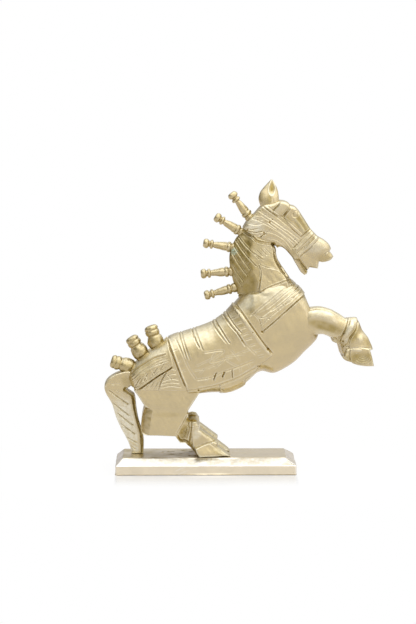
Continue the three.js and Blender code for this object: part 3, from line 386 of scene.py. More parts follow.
HEAD_LINES = (
    (((83.6, 251.4), (82.7, 247.4), (76.8, 240.1)), 2.1, 0.9, 0.22),
    (((74.0, 255.2), (71.4, 250.1), (66.1, 244.8)), 1.8, 0.7, 0.18),
    (((54.6, 250.6), (60.7, 246.6), (65.4, 243.2)), 1.6, 0.6, 0.28),
    (((65.4, 243.2), (68.6, 241.2), (71.6, 238.8)), 1.3, 0.36, 0.17),
    (((57.4, 249.4), (70.1, 239.4), (83.5, 228.7), (94.3, 219.3)), 1.4, 0.4, 0.14),
    (((61.0, 250.0), (73.4, 241.0), (84.4, 232.6), (96.0, 222.4)), 1.3, 0.32, 0.11),
    (((55.4, 240.2), (70.4, 230.6), (84.0, 220.6), (92.6, 212.6)), 1.4, 0.4, 0.14),
    (((61.4, 234.1), (70.1, 227.4), (87.6, 214.0)), 1.5, 0.47, 0.19),
    (((63.6, 238.8), (79.5, 227.5), (93.6, 216.4)), *BRIDLE_CUT),
    (((52.4, 245.4), (66.6, 235.8), (80.0, 226.0)), *BRIDLE_CUT),
    (((49.8, 236.7), (63.7, 229.7), (79.1, 219.2), (89.0, 208.6)), *BRIDLE_CUT),
    (((52.8, 224.6), (65.7, 223.4), (77.6, 216.8), (86.0, 206.6)), *BRIDLE_CUT),
    (((60.6, 218.4), (69.6, 216.6), (77.0, 211.6), (83.0, 205.0)), 1.2, 0.27, 0.08),
    (((56.4, 219.4), (63.4, 227.6)), 1.2, 0.27, 0.08),
    (((104.4, 227.4), (102.2, 226.0), (92.9, 218.0)), 1.4, 0.4, 0.18),
    (((106.6, 226.2), (94.3, 215.4), (86.3, 207.6)), 1.5, 0.47, 0.21),
    (((110.8, 221.4), (99.6, 211.4), (89.4, 202.0)), 1.5, 0.47, 0.19),
    (((113.4, 218.4), (103.6, 208.6), (93.0, 198.6)), 1.3, 0.32, 0.12),
    (((89.8, 219.4), (86.2, 212.0)), 1.2, 0.3, 0.17),
    (((124.0, 205.2), (120.6, 204.0), (117.4, 201.4)), 1.3, 0.5, 0.3),
    (((37.4, 228.4), (45.9, 226.6), (52.8, 228.1)), 1.3, 0.6, 0.45),
    (((40.0, 225.4), (48.9, 223.6), (56.8, 225.3)), 1.3, 0.6, 0.5),
    (((44.4, 222.0), (51.9, 220.8), (58.2, 222.9)), 1.3, 0.36, 0.22),
    (((42.4, 232.4), (50.6, 231.0), (57.8, 233.0)), 1.3, 0.36, 0.17),
    (((46.4, 236.8), (54.0, 236.0), (59.4, 238.0)), 1.2, 0.29, 0.11),
    (((49.0, 240.6), (56.6, 240.4), (62.0, 242.0)), 1.2, 0.25, 0.08),
    (((52.5, 217.8), (57.0, 221.4), (60.2, 222.9)), 1.4, 0.55, 0.75),
)
HEAD_PITS = (
    ((63.4, 234.0), 1.3, 0.7), ((66.0, 236.6), 0.8, 0.4), ((57.6, 223.6), 1.2, 0.7),
    ((41.2, 226.2), 1.2, 0.7), ((67.4, 212.4), 1.9, 1.0), ((71.6, 210.4), 1.4, 0.8),
)
FORELOCK = (
    (73.6, 256.0), (84.6, 252.0), (82.4, 246.8), (76.6, 240.2), (71.8, 240.6), (66.0, 244.4), (71.2, 249.8),
)
EYE_PANEL = (
    (84.6, 252.0), (97.0, 244.0), (108.4, 226.4), (103.0, 226.8), (94.0, 219.4), (84.0, 230.0),
    (77.6, 238.6),
)
EYE = (88.8, 242.1)
EYE_HALVES = (2.5, 3.2)
NOSEBAND = ((105.6, 227.6), (113.6, 218.6), (103.0, 208.4), (92.6, 198.6), (86.2, 206.6), (95.0, 216.4))
HEAD_PANELS = ((FORELOCK, 1.4, 1.6), (EYE_PANEL, 1.2, 1.5), (NOSEBAND, 0.9, 1.0))
HEAD_RIDGES = (
    (((107.6, 224.0), (98.2, 214.8), (88.4, 205.0)), 2.6, 1.2),
    (((112.0, 220.4), (101.8, 210.2), (91.4, 200.0)), 2.2, 0.9),
    (((98.6, 222.4), (91.6, 232.6), (86.0, 239.0)), 3.4, 0.45),
)
# The muzzle and the cheek: height, then the oval and the share of its size at which it ends.
HEAD_SWELLS = ((2.8, (111.5, 207.5), 13.0, 10.5, 0.0, 1.15), (0.8, (70.0, 226.0), 20.0, 13.0, 0.0, 1.2))
# Darkened ovals on the head: painted shadow in the forelock's two notches, painted shade under the forelock
# and on the muzzle's lower side, and darker patina on the face and above the jaw.
HEAD_PATINA_AND_SHADE = (
    ((70.0, 250.0), 1.2, 5.0, -40.0, 0.6), ((80.4, 246.4), 1.2, 5.5, -40.0, 0.6),
    ((96.0, 232.0), 11.0, 6.0, -55.0, 0.95), ((79.0, 237.0), 7.0, 4.0, -40.0, 0.6),
    ((84.0, 206.0), 7.0, 4.5, -45.0, 0.45), ((118.0, 199.0), 8.0, 3.5, 10.0, 0.4),
)
# Painted highlights on the rear of the cheek, the muzzle's top and the forelock.
HEAD_PAINTED_HIGHLIGHTS = (
    ((47.0, 232.0), 11.0, 8.0, -40.0, 0.75), ((108.0, 210.0), 11.0, 6.0, 0.0, 0.45),
    ((74.0, 249.0), 6.0, 5.0, 0.0, 0.25),
)
JAW_RIM = ((85.0, 201.2), (90.4, 198.2), (94.4, 193.2), (99.6, 184.4))
# Marks on an ear's outer side: a hollow near its tip, a crease below it, and its foot's swell and dark.
EAR_HOLLOW = (65.4, 267.6)
EAR_HOLLOW_HALF = 2.9
EAR_HOLLOW_RISE = 6.4
EAR_CREASE_X = 66.8
EAR_CREASE_TOP = 259.0
EAR_SWELL = ((64.2, 256.6), 6.0, 6.0, 0.0, 1.2)
EAR_DARK = ((63.0, 257.0), 2.4, 5.0)

TAIL_LINES = (
    (((-97.4, 65.6), (-86.6, 57.6), (-76.4, 50.4)), 1.5, 0.75, 0.42),
    (((-94.6, 53.9), (-85.6, 46.5), (-75.6, 38.6)), 1.5, 0.75, 0.42),
    (((-88.9, 42.3), (-80.1, 35.1), (-71.6, 28.6)), 1.5, 0.75, 0.35),
    (((-86.0, 32.1), (-78.8, 26.2), (-69.8, 19.6)), 1.4, 0.65, 0.32),
    (((-81.3, 18.8), (-75.3, 14.8), (-68.9, 11.2)), 1.3, 0.6, 0.28),
    (((-77.4, 9.7), (-70.2, 4.3)), 1.2, 0.5, 0.28),
    (((-90.0, 66.0), (-80.4, 60.4)), 1.1, 0.35, 0.1),
    (((-95.6, 71.6), (-84.6, 71.4)), 1.2, 0.35, 0.08),
)
FORELEG_LINES = (
    (((102.1, 146.2), (110.1, 147.5), (120.8, 145.9), (130.2, 141.3), (139.7, 135.0)), 1.2, 0.35, 0.3),
    (((141.3, 138.0), (138.4, 129.6), (135.1, 121.8)), 1.6, 0.4, 0.1),
    (((150.8, 135.0), (148.2, 126.6), (143.2, 119.6), (141.4, 114.0)), 2.2, 0.6, 0.22),
    (((133.4, 121.6), (131.2, 117.4)), 1.8, 0.6, 0.25),
    (((142.0, 112.6), (141.5, 104.9), (143.4, 96.8)), 1.6, 0.5, 0.2),
    (((136.6, 112.2), (139.4, 110.6), (143.4, 109.6)), 1.3, 0.4, 0.2),
    (((143.0, 108.9), (153.3, 109.6), (164.8, 109.0)), 1.2, 0.35, 0.15),
    (((143.6, 105.0), (154.1, 104.9), (165.8, 104.9)), 1.4, 0.65, 0.5),
)
FORELEG_PITS = (((136.6, 116.4), 1.2, 0.9), ((136.4, 110.9), 1.0, 0.5))
CUFF = (
    (141.3, 139.0), (138.4, 129.4), (135.1, 121.8), (134.2, 116.0), (138.0, 112.4), (141.0, 114.4),
    (142.8, 120.4), (148.6, 127.6), (150.6, 138.0),
)
FORELEG_RIDGES = (
    (((94.0, 140.0), (104.0, 142.6), (114.0, 143.0), (125.0, 138.6), (134.0, 132.6)), 13.0, 1.5),
    (((106.0, 124.6), (116.0, 125.6), (126.0, 121.6), (131.0, 118.4)), 6.0, 0.9),
    (((152.4, 124.0), (153.6, 118.0), (155.4, 112.4)), 8.0, 1.2),
    (((146.4, 137.4), (144.2, 131.0), (139.2, 123.2), (137.4, 118.0)), 6.5, 1.7),
    (((138.8, 117.6), (138.8, 113.8)), 6.0, 1.2),
    (((143.3, 107.0), (153.3, 107.3), (166.0, 106.9)), 2.2, 0.6),
)
# Painted shade on the arm's lower half, the cuff's right side, beside the bell and round the knob.
FORELEG_PAINTED_SHADE = (
    ((119.0, 131.0), 17.0, 4.6, -18.0, 0.9), ((147.4, 123.2), 8.5, 4.0, 62.0, 1.0),
    ((160.0, 113.0), 7.0, 3.0, -60.0, 0.55), ((138.0, 113.0), 6.0, 5.0, 0.0, 0.3),
)
# Painted highlights along the arm's top, on the cuff's fold and on the knob.
FORELEG_PAINTED_HIGHLIGHTS = (
    ((112.0, 144.2), 17.0, 2.6, -8.0, 0.75), ((143.4, 130.4), 9.0, 2.2, 62.0, 0.8),
    ((140.5, 117.0), 2.6, 2.6, 0.0, 0.5),
)
FORE_HOOF_RING_CENTRE = (155.5, 103.0)
FORE_HOOF_SEAM = ((142.9, 108.6), (142.4, 102.0), (144.2, 95.0))
FORE_HOOF_SWELLS = ((0.8, (139.6, 100.6), 4.0, 4.0, 0.0, 1.2),)
FORE_HOOF_DARK = (((152.0, 98.5), 16.0, 6.0, 5.0, 0.9),)
TUFT_CURL = ((127.7, 121.0), (130.4, 121.2), (131.6, 118.6), (129.3, 116.6), (127.6, 118.4))
TUFT_HALF = 5.0

HOCK = ((-31, 20), (-17, 46), (-14, 40), (-16, 14), (-28, 16))
PASTERN = (
    (-17.4, 30.0), (-16.8, 36.4), (-7.9, 36.0), (-7.0, 33.4), (5.3, 26.4), (12.6, 19.4), (3.5, 14.8),
    (-4.8, 10.4), (-11.0, 10.0), (-19.4, 18.6),
)
HIND_HOOF = (
    (-11.0, 9.6), (-2.1, 13.1), (5.3, 15.3), (13.4, 19.6), (14.0, 11.0), (28.0, -2.0), (-8.0, -2.0),
)
# A facet is the line from a to b, the slope to the right of it, the deepest cut and the outline it keeps to.
HIND_LEG_FACETS = (
    ((-29.3, 24.0), (-18.6, 41.7), 0.3, 2.6, HOCK),
    ((-16.8, 29.2), (-7.6, 29.8), 0.1, 1.2, PASTERN),
    ((-4.8, 9.9), (-16.8, 28.6), -0.2, 2.0, PASTERN),
    ((-4.8, 9.9), (-9.4, 23.9), 0.22, 2.0, PASTERN),
    ((3.5, 15.1), (-7.6, 34.2), 0.3, 2.6, PASTERN),
    ((3.1, 15.1), (21.9, 0.1), -0.32, 3.2, HIND_HOOF),
)
HIND_LEG_LINES = (
    (((-18.6, 43.0), (-23.2, 34.3), (-29.3, 23.6)), 1.2, 0.45, 0.5),
    (((-17.0, 36.4), (-12.0, 37.4), (-8.0, 36.6)), 1.4, 0.5, 0.6),
    (((-17.0, 30.2), (-8.6, 31.2), (-6.0, 30.6)), 1.2, 0.3, 0.15),
    (((-10.6, 9.6), (-2.1, 13.3), (5.3, 15.5), (13.4, 19.6)), 1.5, 0.6, 0.45),
    (((3.1, 15.1), (12.7, 8.0), (21.9, 0.1)), 1.2, 0.35, 0.2),
    (((-17.2, 35.2), (-16.6, 28.6), (-19.0, 18.0)), 1.5, 0.6, 0.55),
    (((-28.2, 22.6), (-25.1, 17.0), (-19.6, 16.4), (-13.1, 8.4), (-6.6, 1.4)), 1.8, 0.5, 0.8),
)
# Short strokes down the shank: the first one's upper end, the step to the next, and their run.
SHANK_STROKE = (-19.4, 33.0)
SHANK_STROKE_STEP = (-1.4, -3.1)
SHANK_STROKE_RUN = (3.6, -3.4)
HIND_LEG_PITS = (((-18.2, 44.6), 1.2, 0.5), ((-14.6, 36.6), 1.0, 0.5))
# Darkened ovals on the hind leg: painted shade on the far leg's knob between the legs, on the thigh's rear
# facet and under the knee, and darker patina on the shank's stroked strip, the pastern and the hoof.
HIND_LEG_PATINA_AND_SHADE = (
    ((-14.0, 37.4), 8.0, 2.4, 5.0, 0.8), ((-22.0, 25.0), 9.0, 4.0, 60.0, 0.8),
    ((4.0, 22.0), 12.0, 2.6, -38.0, 0.6), ((-59.0, 38.0), 4.0, 14.0, 0.0, 0.45),
    ((14.0, 6.0), 9.0, 4.0, -40.0, 0.45), ((-38.0, 43.0), 14.0, 2.2, 0.0, 0.25),
)
# A painted highlight on the pastern's facet.
HIND_LEG_PAINTED_HIGHLIGHT = (((-8.0, 25.0), 8.0, 4.0, 60.0, 0.55),)
# Residue in the shank's stroked strip, and painted shade laid as residue on the far leg's knob between the
# legs.
HIND_LEG_SOILED_AND_SHADED = (((-14.0, 38.5), 6.0, 3.0, 0.0, 0.75), ((-21.5, 25.0), 5.0, 9.0, 0.0, 0.45))

TAIL_INNER_EDGE = ((-79.8, 66.1), (-71.8, 60.7), (-69.5, 46.4), (-63.5, 22.4), (-62.2, 0.0))
TAIL_OUTER_EDGE = ((-101.12, 67.1), (-93.3, 50.2), (-85.1, 26.8), (-75.1, 4.8))
# Painted shade where the tail meets the rump.
TAIL_PAINTED_SHADE = (((-78.0, 73.0), 8.0, 4.0, -50.0, 0.45),)

# The plinth: chamfer's inset and drop, the long shallow mark on its front, and its dents' number and seed.
CHAMFER_INSET = 8.6
CHAMFER_DROP = 6.4
PLINTH_SIDES = 420
FRONT_MARK = ((-30.0, -14.6), (-24.0, -11.6), (-18.0, -9.6))
DENT_COUNT = 26
DENT_SEED = 7

# The uneven skin of each casting: height, wavelength and seed of each ripple.
TORSO_SKIN = ((0.12, 20.0, 11), (0.06, 7.0, 12), (0.03, 3.0, 13))
NECK_SKIN = ((0.14, 14.0, 21), (0.09, 6.0, 22), (0.04, 2.6, 23))
HEAD_SKIN = ((0.12, 14.0, 31), (0.04, 6.0, 32))
JAW_SKIN = ((0.1, 4.0, 41),)
EAR_SKIN = ((0.12, 8.0, 51),)
FORELEG_SKIN = ((0.14, 12.0, 61), (0.05, 5.0, 62))
FORE_HOOF_SKIN = ((0.1, 6.0, 63),)
TUFT_SKIN = ((0.14, 3.0, 64),)
HIND_LEG_SKIN = ((0.14, 14.0, 71), (0.08, 6.0, 72), (0.035, 2.8, 74))
TAIL_SKIN = ((0.14, 13.0, 81), (0.08, 5.5, 82), (0.035, 2.6, 83))


def smooth(value):
    """A step from 0 to 1 with level ends."""
    t = np.clip(value, 0.0, 1.0)
    return t * t * (3 - 2 * t)


def through(points, spacing, closed=False, corner=180.0):
    """Even points on a smooth curve through given points, sharp where it turns past the corner."""
    p = np.asarray(points, float)
    count = len(p)

    def sharp(i):
        if not closed and i in (0, count - 1):
            return True
        before = p[i] - p[i - 1]
        after = p[(i + 1) % count] - p[i]
        size = np.linalg.norm(before) * np.linalg.norm(after)
        return math.degrees(math.acos(np.clip(before @ after / size, -1, 1))) >= corner

    pieces = []
    for i in range(count if closed else count - 1):
        j = (i + 1) % count
        first, second = p[i], p[j]
        before = 2 * first - second if sharp(i) else p[i - 1]
        after = 2 * second - first if sharp(j) else p[(j + 1) % count]
        steps = max(1, round(float(np.linalg.norm(second - first)) / spacing))
        pieces.append(hermite(before, first, second, after, np.arange(steps) / steps))
    if not closed:
        pieces.append(p[-1:])
    return np.concatenate(pieces)


def hermite(before, first, second, after, t):
    """One span of a centripetal curve from first to second."""
    d0, d1, d2 = (max(float(np.linalg.norm(b - a)) ** 0.5, 1e-6)
                  for a, b in ((before, first), (first, second), (second, after)))
    start = ((first - before) / d0 - (second - before) / (d0 + d1) + (second - first) / d1) * d1
    stop = ((second - first) / d1 - (after - first) / (d1 + d2) + (after - second) / d2) * d1
    t = t[:, None]
    cubic = 2 * first - 2 * second + start + stop
    square = -3 * first + 3 * second - 2 * start - stop
    return first + t * (start + t * (square + t * cubic))


def at_stations(stations, columns, count):
    """Some columns of the stations, carried along a smooth curve at even shares of the station number."""
    p = np.array([[station[k] for k in columns] for station in stations], float)
    spans = len(p) - 1
    out = []
    for share in np.linspace(0, spans, count):
        i = min(int(share), spans - 1)
        before = p[i - 1] if i else 2 * p[0] - p[1]
        after = p[i + 2] if i + 2 <= spans else 2 * p[spans] - p[spans - 1]
        out.append(hermite(before, p[i], p[i + 1], after, np.array([share - i]))[0])
    return np.array(out)


def path_distance(points, path):
    """Distance from each point to an open path, the length along it there, and the path's length."""
    best = np.full(len(points), np.inf)
    along = np.zeros(len(points))
    travelled = 0.0
    for a, b in zip(path[:-1], path[1:]):
        span = b - a
        length = float(np.hypot(*span))
        t = np.clip(((points - a) @ span) / length ** 2, 0, 1)
        gap = np.hypot(*(points - a - t[:, None] * span).T)
        closer = gap < best
        best[closer] = gap[closer]
        along[closer] = travelled + t[closer] * length
        travelled += length
    return best, along, travelled


def outline_distance(points, outline):
    """Distance from each point to a closed outline."""
    return path_distance(points, np.vstack([outline, outline[:1]]))[0]


def inside(points, outline):
    """True for the points that lie within a closed outline."""
    x, z = points.T
    hit = np.zeros(len(points), bool)
    for a, b in zip(outline, np.roll(outline, -1, axis=0)):
        if a[1] != b[1]:
            crosses = (a[1] > z) != (b[1] > z)
            hit ^= crosses & (x < (b[0] - a[0]) * (z - a[1]) / (b[1] - a[1]) + a[0])
    return hit


def depth_within(points, outline):
    """Signed distance to a closed outline, above zero inside it."""
    return np.where(inside(points, outline), 1.0, -1.0) * outline_distance(points, outline)


def ripple(points, wavelength, seed, waves=16):
    """A smooth uneven field of about -1 to 1 in space, from a few random waves."""
    rng = np.random.default_rng(seed)
    directions = rng.normal(size=(waves, points.shape[1]))
    directions /= np.linalg.norm(directions, axis=1, keepdims=True)
    lengths = wavelength * rng.uniform(0.7, 1.5, waves)
    phases = rng.uniform(0, TAU, waves)
    field = np.zeros(len(points))
    for direction, length, phase in zip(directions, lengths, phases):
        field += np.sin(points @ direction * TAU / length + phase)
    return field / math.sqrt(waves)


def skin(points, ripples):
    """The uneven skin of a casting: ripples added up, each with its height, wavelength and seed."""
    return sum(height * ripple(points, wavelength, seed) for height, wavelength, seed in ripples)


class Carving:
    """Relief over surface points seen from the side: height in mm, and the wear that goes with it, which also
    carries painted highlights and painted shade.
    """

    def __init__(self, x, z, depth=1.0):
        self.points = np.column_stack([x, z])
        self.depth = depth
        self.height, self.residue, self.polish, self.patina, self.verdigris = np.zeros((5, len(x)))

    def wear(self):
        """The four kinds of wear side by side. The polish also holds painted highlights, and the patina and
        the residue painted shade.
        """
        return np.column_stack([self.residue, self.polish, self.patina, self.verdigris])

    def oval(self, centre, long, short, turn=0.0, rim=1.5):
        """A soft mask that is 1 in the middle of an oval and 0 from the rim's share of its size."""
        offset = self.points - np.array(centre)
        angle = math.radians(turn)
        u = offset[:, 0] * math.cos(angle) + offset[:, 1] * math.sin(angle)
        v = offset[:, 1] * math.cos(angle) - offset[:, 0] * math.sin(angle)
        return smooth(rim - np.hypot(u / long, v / short))

    def worn(self, dark=(), bright=(), soiled=()):
        """Lays dark ovals into the patina, bright ones into the polish and soiled ones into the residue, each
        with its share at the end. Many dark ovals are painted shade, and many bright ones painted highlights.
        """
        for wear, table in ((self.patina, dark), (self.polish, bright), (self.residue, soiled)):
            for *oval, share in table:
                np.maximum(wear, share * self.oval(*oval), out=wear)

    def close_to(self, shape, reach):
        """The numbers of the points near a shape's box."""
        low, high = shape.min(0) - reach, shape.max(0) + reach
        return np.flatnonzero(((self.points >= low) & (self.points <= high)).all(1))

    def groove(self, path, width, depth, residue, taper=2.0):
        """A chased line: a hollow with a small burr along both edges."""
        line = through(path, 1.0)
        width = 1.12 * width
        near = self.close_to(line, width + 1.0)
        if not len(near):
            return
        gap, along, length = path_distance(self.points[near], line)
        fade = smooth(along / taper + 0.25) * smooth((length - along) / taper + 0.25)
        hollow = np.clip(1 - (2 * gap / width) ** 2, 0, 1) * fade
        burr = np.exp(-(((gap - 0.66 * width) / 0.42) ** 2)) * fade
        self.height[near] += self.depth * depth * (0.28 * burr - hollow)
        self.residue[near] = np.maximum(self.residue[near], residue * hollow)
        self.polish[near] = np.maximum(self.polish[near], 0.4 * burr)

    def ridge(self, path, width, height):
        """A soft raised line, rubbed along its top."""
        line = through(path, 1.0)
        near = self.close_to(line, width)
        if len(near):
            gap, along, length = path_distance(self.points[near], line)
            fade = smooth(along / width) * smooth((length - along) / width)
            swell = smooth(1.2 - 2 * gap / width) * fade
            self.height[near] += height * swell
            self.polish[near] = np.maximum(self.polish[near], 0.4 * swell)

    def panel(self, outline, height, edge=0.9, spacing=1.5, corner=40.0):
        """Raises what lies within a closed outline by a height."""
        shape = through(outline, spacing, closed=True, corner=corner)
        near = self.close_to(shape, edge + 1.0)
        if len(near):
            signed = depth_within(self.points[near], shape)
            self.height[near] += height * smooth(0.5 + signed / edge)
            foot = np.exp(-(((signed + 0.6 * edge) / 0.5) ** 2))
            brow = np.exp(-(((signed - 0.5 * edge) / 0.4) ** 2))
            self.residue[near] = np.maximum(self.residue[near], 0.22 * foot)
            self.polish[near] = np.maximum(self.polish[near], 0.25 * brow)

    def pit(self, place, radius, depth):
        """A punched hollow full of residue."""
        near = self.close_to(np.array([place, place], float), 2 * radius)
        if len(near):
            gap = np.hypot(*(self.points[near] - np.array(place)).T)
            hollow = np.exp(-((gap / (0.75 * radius)) ** 2))
            self.height[near] -= depth * hollow
            self.residue[near] = np.maximum(self.residue[near], 1.15 * hollow)

    def facet(self, a, b, slope, limit, within=None):
        """Planes the surface down on the right of the line from a to b, all over or within an outline."""
        a, b = np.array(a, float), np.array(b, float)
        along = (b - a) / np.hypot(*(b - a))
        right = (self.points - a) @ np.array([along[1], -along[0]])
        right = 0.5 * (right + np.hypot(right, 1.2))
        drop = np.minimum(slope * right, limit)
        if within is not None:
            shape = through(within, 1.5, closed=True, corner=40.0)
            drop = drop * smooth(0.5 + depth_within(self.points, shape) / 2.0)
        self.height -= drop

    def lines(self, table):
        for line in table:
            self.groove(*line)

    def ridges(self, table):
        for ridge in table:
            self.ridge(*ridge)

    def pits(self, table):
        for pit in table:
            self.pit(*pit)

    def facets(self, table):
        for facet in table:
            self.facet(*facet)

    def panels(self, table):
        for panel in table:
            self.panel(*panel)

    def swells(self, table):
        """Raises ovals, or sinks them where the height is below zero."""
        for height, *oval in table:
            self.height += height * self.oval(*oval)


# The polish also holds painted highlights, and the patina and the residue painted shade.
WEAR = ("residue", "polish", "patina", "verdigris")
# How dark the rim of a flat casting is painted: painted shade on its edge faces, laid into the patina.
RIM_PAINTED_SHADE = 0.8
# Wear compares the surface with itself after so many rounds of blur, and scales the difference.
BLUR_ROUNDS = 5
PROUD_GAIN = 3.2


def unit(vectors):
    """The same directions at length one."""
    return vectors / np.maximum(np.linalg.norm(vectors, axis=-1, keepdims=True), 1e-12)


def grid_normals(rings):
    """Outward normals of a loft, from its rows and columns."""
    along = np.gradient(rings, axis=0)
    around = np.roll(rings, -1, axis=1) - np.roll(rings, 1, axis=1)
    normals = unit(np.cross(along, around))
    middle = rings.mean(axis=1, keepdims=True)
    if np.sum(normals * (rings - middle)) < 0:
        normals = -normals
    return normals


def loft_faces(rows, sides):
    """Quads between equal rings, and triangles that close both ends on two extra points."""
    r, k = np.meshgrid(np.arange(rows - 1), np.arange(sides), indexing="ij")
    a = (r * sides + k).ravel()
    b = (r * sides + (k + 1) % sides).ravel()
    quads = np.column_stack([a, b, b + sides, a + sides])
    first = np.arange(sides)
    after = (first + 1) % sides
    last = (rows - 1) * sides
    low = np.column_stack([np.full(sides, rows * sides), after, first])
    high = np.column_stack([np.full(sides, rows * sides + 1), last + first, last + after])
    return [quads, np.vstack([low, high])]


def signed_volume(points, faces):
    """The volume within the faces, below zero where they face inwards."""
    total = 0.0
    for group in faces:
        for k in range(1, group.shape[1] - 1):
            a, b, c = points[group[:, 0]], points[group[:, k]], points[group[:, k + 1]]
            total += np.einsum("ij,ij->i", a, np.cross(b, c)).sum()
    return total / 6


def edge_pairs(faces):
    """Every edge once, as the numbers of its two points."""
    pairs = []
    for group in faces:
        for k in range(group.shape[1]):
            pairs.append(np.column_stack([group[:, k], group[:, (k + 1) % group.shape[1]]]))
    return np.unique(np.sort(np.vstack(pairs), axis=1), axis=0)


def blurred(points, faces, rounds):
    """The points drawn halfway to the mean of their neighbours, round after round."""
    first, second = edge_pairs(faces).T
    count = len(points)
    degree = np.maximum(np.bincount(first, minlength=count) + np.bincount(second, minlength=count), 1)
    soft = points.copy()
    for _ in range(rounds):
        total = np.empty_like(soft)
        for axis in range(3):
            total[:, axis] = (np.bincount(first, soft[second, axis], count)
                              + np.bincount(second, soft[first, axis], count))
        soft = 0.5 * soft + 0.5 * total / degree[:, None]
    return soft


def point_normals(points, faces):
    """Outward directions at the points, from the faces that meet there."""
    normals = np.zeros_like(points)
    for group in faces:
        a, b, c = points[group[:, 0]], points[group[:, 1]], points[group[:, -1]]
        normal = np.cross(b - a, c - a)
        for k in range(group.shape[1]):
            for axis in range(3):
                normals[:, axis] += np.bincount(group[:, k], normal[:, axis], len(points))
    return unit(normals)


class Casting:
    """A closed surface in millimetres with the wear of each point: residue, polish, patina, verdigris. The
    polish also holds painted highlights, and the patina and the residue painted shade.
    """

    def __init__(self, points, faces, wear):
        if signed_volume(points, faces) < 0:
            faces = [group[:, ::-1] for group in faces]
        self.points = points
        self.faces = faces
        self.wear = wear

    def joined(self, other):
        """Two separate closed surfaces held together as one."""
        start = len(self.points)
        moved = [group + start for group in other.faces]
        return Casting(np.vstack([self.points, other.points]), self.faces + moved,
                       np.vstack([self.wear, other.wear]))

    def lowered(self, drop):
        return Casting(self.points - np.array([0, 0, drop]), self.faces, self.wear)

    def weather(self, gain=1.0, patina=0.0, rubbed_and_highlit=0.7):
        """Adds residue in hollows and polish on crests, and paints a highlight into the polish on the faces
        that turn upwards, as if lit from above.
        """
        normals = point_normals(self.points, self.faces)
        soft = blurred(self.points, self.faces, BLUR_ROUNDS)
        proud = np.einsum("ij,ij->i", self.points - soft, normals) * PROUD_GAIN * gain
        hollows = 0.55 * smooth(-proud - 0.12)
        # Faces that turn upwards get a painted highlight, as light from above would give them.
        upward = smooth((normals[:, 2] - 0.3) / 0.5)
        crests = np.maximum(0.8 * smooth(proud - 0.1), rubbed_and_highlit * upward)
        count = len(self.points)
        added = np.column_stack([hollows, crests, np.full(count, patina), np.zeros(count)])
        self.wear = np.clip(np.maximum(self.wear, added), 0, 1)
        return self


def loft(rings, wear):
    """A closed skin over equal rings."""
    rows, sides = rings.shape[:2]
    points = np.vstack([rings.reshape(-1, 3), rings[0].mean(0), rings[-1].mean(0)])
    return Casting(points, loft_faces(rows, sides), np.vstack([wear, np.zeros((2, 4))]))


def even_ring(curve, sides):
    """A closed ring's points spread evenly along it."""
    loop = np.vstack([curve, curve[:1]])
    travelled = np.concatenate([[0], np.cumsum(np.linalg.norm(np.diff(loop, axis=0), axis=1))])
    wanted = np.linspace(0, travelled[-1], sides, endpoint=False)
    return np.column_stack([np.interp(wanted, travelled, loop[:, k]) for k in range(3)])


def rounded_section(squareness, skirt=None):
    """A closed superellipse, as shares of its height and width. The lower half can be squarer."""
    angle = np.arange(720) * TAU / 720
    up, across = np.cos(angle), np.sin(angle)
    bend = np.where(up < 0, 2.0 / (skirt or squareness), 2.0 / squareness)
    return np.sign(up) * np.abs(up) ** bend, np.sign(across) * np.abs(across) ** bend


def section_ring(upper, lower, half, up, across, centre, sides):
    """A section laid across the body between its upper and lower point."""
    middle, reach = (upper + lower) / 2, (upper - lower) / 2
    curve = np.column_stack([middle[0] + up * reach[0], centre + across * half, middle[1] + up * reach[1]])
    return even_ring(curve, sides)


def displaced(rings, carve):
    """Skins a loft whose points move along their normals by what the carving says."""
    normals = grid_normals(rings)
    flat, out = rings.reshape(-1, 3), normals.reshape(-1, 3)
    height, wear = carve(flat, out)
    moved = flat + out * height[:, None]
    return loft(moved.reshape(rings.shape), wear)


# Mesh spacing of a flat casting: along its outline, across its rim, and the rows inside the outline.
EDGE_SPACING = 0.6
RIM_STEP = 0.9
EDGE_ROWS = (0.25, 0.7, 1.3, 2.0)


def filled_outline(edge, spacing):
    """Triangles that fill a closed outline: rows that follow its edge, then an even field inside."""
    tangent = np.roll(edge, -1, axis=0) - np.roll(edge, 1, axis=0)
    inward = unit(np.column_stack([-tangent[:, 1], tangent[:, 0]]))
    rows = []
    for inset in EDGE_ROWS:
        ring = edge + inward * inset
        fits = inside(ring, edge) & (outline_distance(ring, edge) > 0.93 * inset)
        rows.append(ring[fits])
    low, high = edge.min(0), edge.max(0)
    x = np.arange(low[0], high[0], spacing)
    z = np.arange(low[1], high[1], spacing * 0.866)
    field = np.stack(np.meshgrid(x, z), -1)
    field[1::2, :, 0] += spacing / 2
    field = field.reshape(-1, 2)
    field = field[inside(field, edge)]
    field = field[outline_distance(field, edge) > EDGE_ROWS[-1] + 0.45 * spacing]
    loose = np.vstack(rows + [field])
    cell = np.round(loose / (0.4 * spacing)).astype(int)
    keep = np.sort(np.unique(cell, axis=0, return_index=True)[1])
    points = np.vstack([edge, loose[keep]])
    border = list(range(len(edge)))
    found = delaunay_2d_cdt([Vector(p) for p in points], [], [border], 1, 1e-6)
    flat = np.array([[v.x, v.y] for v in found[0]])
    place = np.full(len(points), -1)
    for new, old in enumerate(found[3]):
        for index in old:
            place[index] = new
    triangles = np.array(found[2])
    a, b, c = (flat[triangles[:, k]] for k in range(3))
    turn = (b[:, 0] - a[:, 0]) * (c[:, 1] - a[:, 1]) - (b[:, 1] - a[:, 1]) * (c[:, 0] - a[:, 0])
    triangles[turn < 0] = triangles[turn < 0][:, ::-1]
    return flat, triangles[np.abs(turn) > 1e-9], place[border]


def counter_clockwise(edge):
    """The same outline, turned round where it runs clockwise."""
    x, z = edge.T
    area = np.sum(x * np.roll(z, -1) - np.roll(x, -1) * z)
    return edge if area > 0 else edge[::-1]


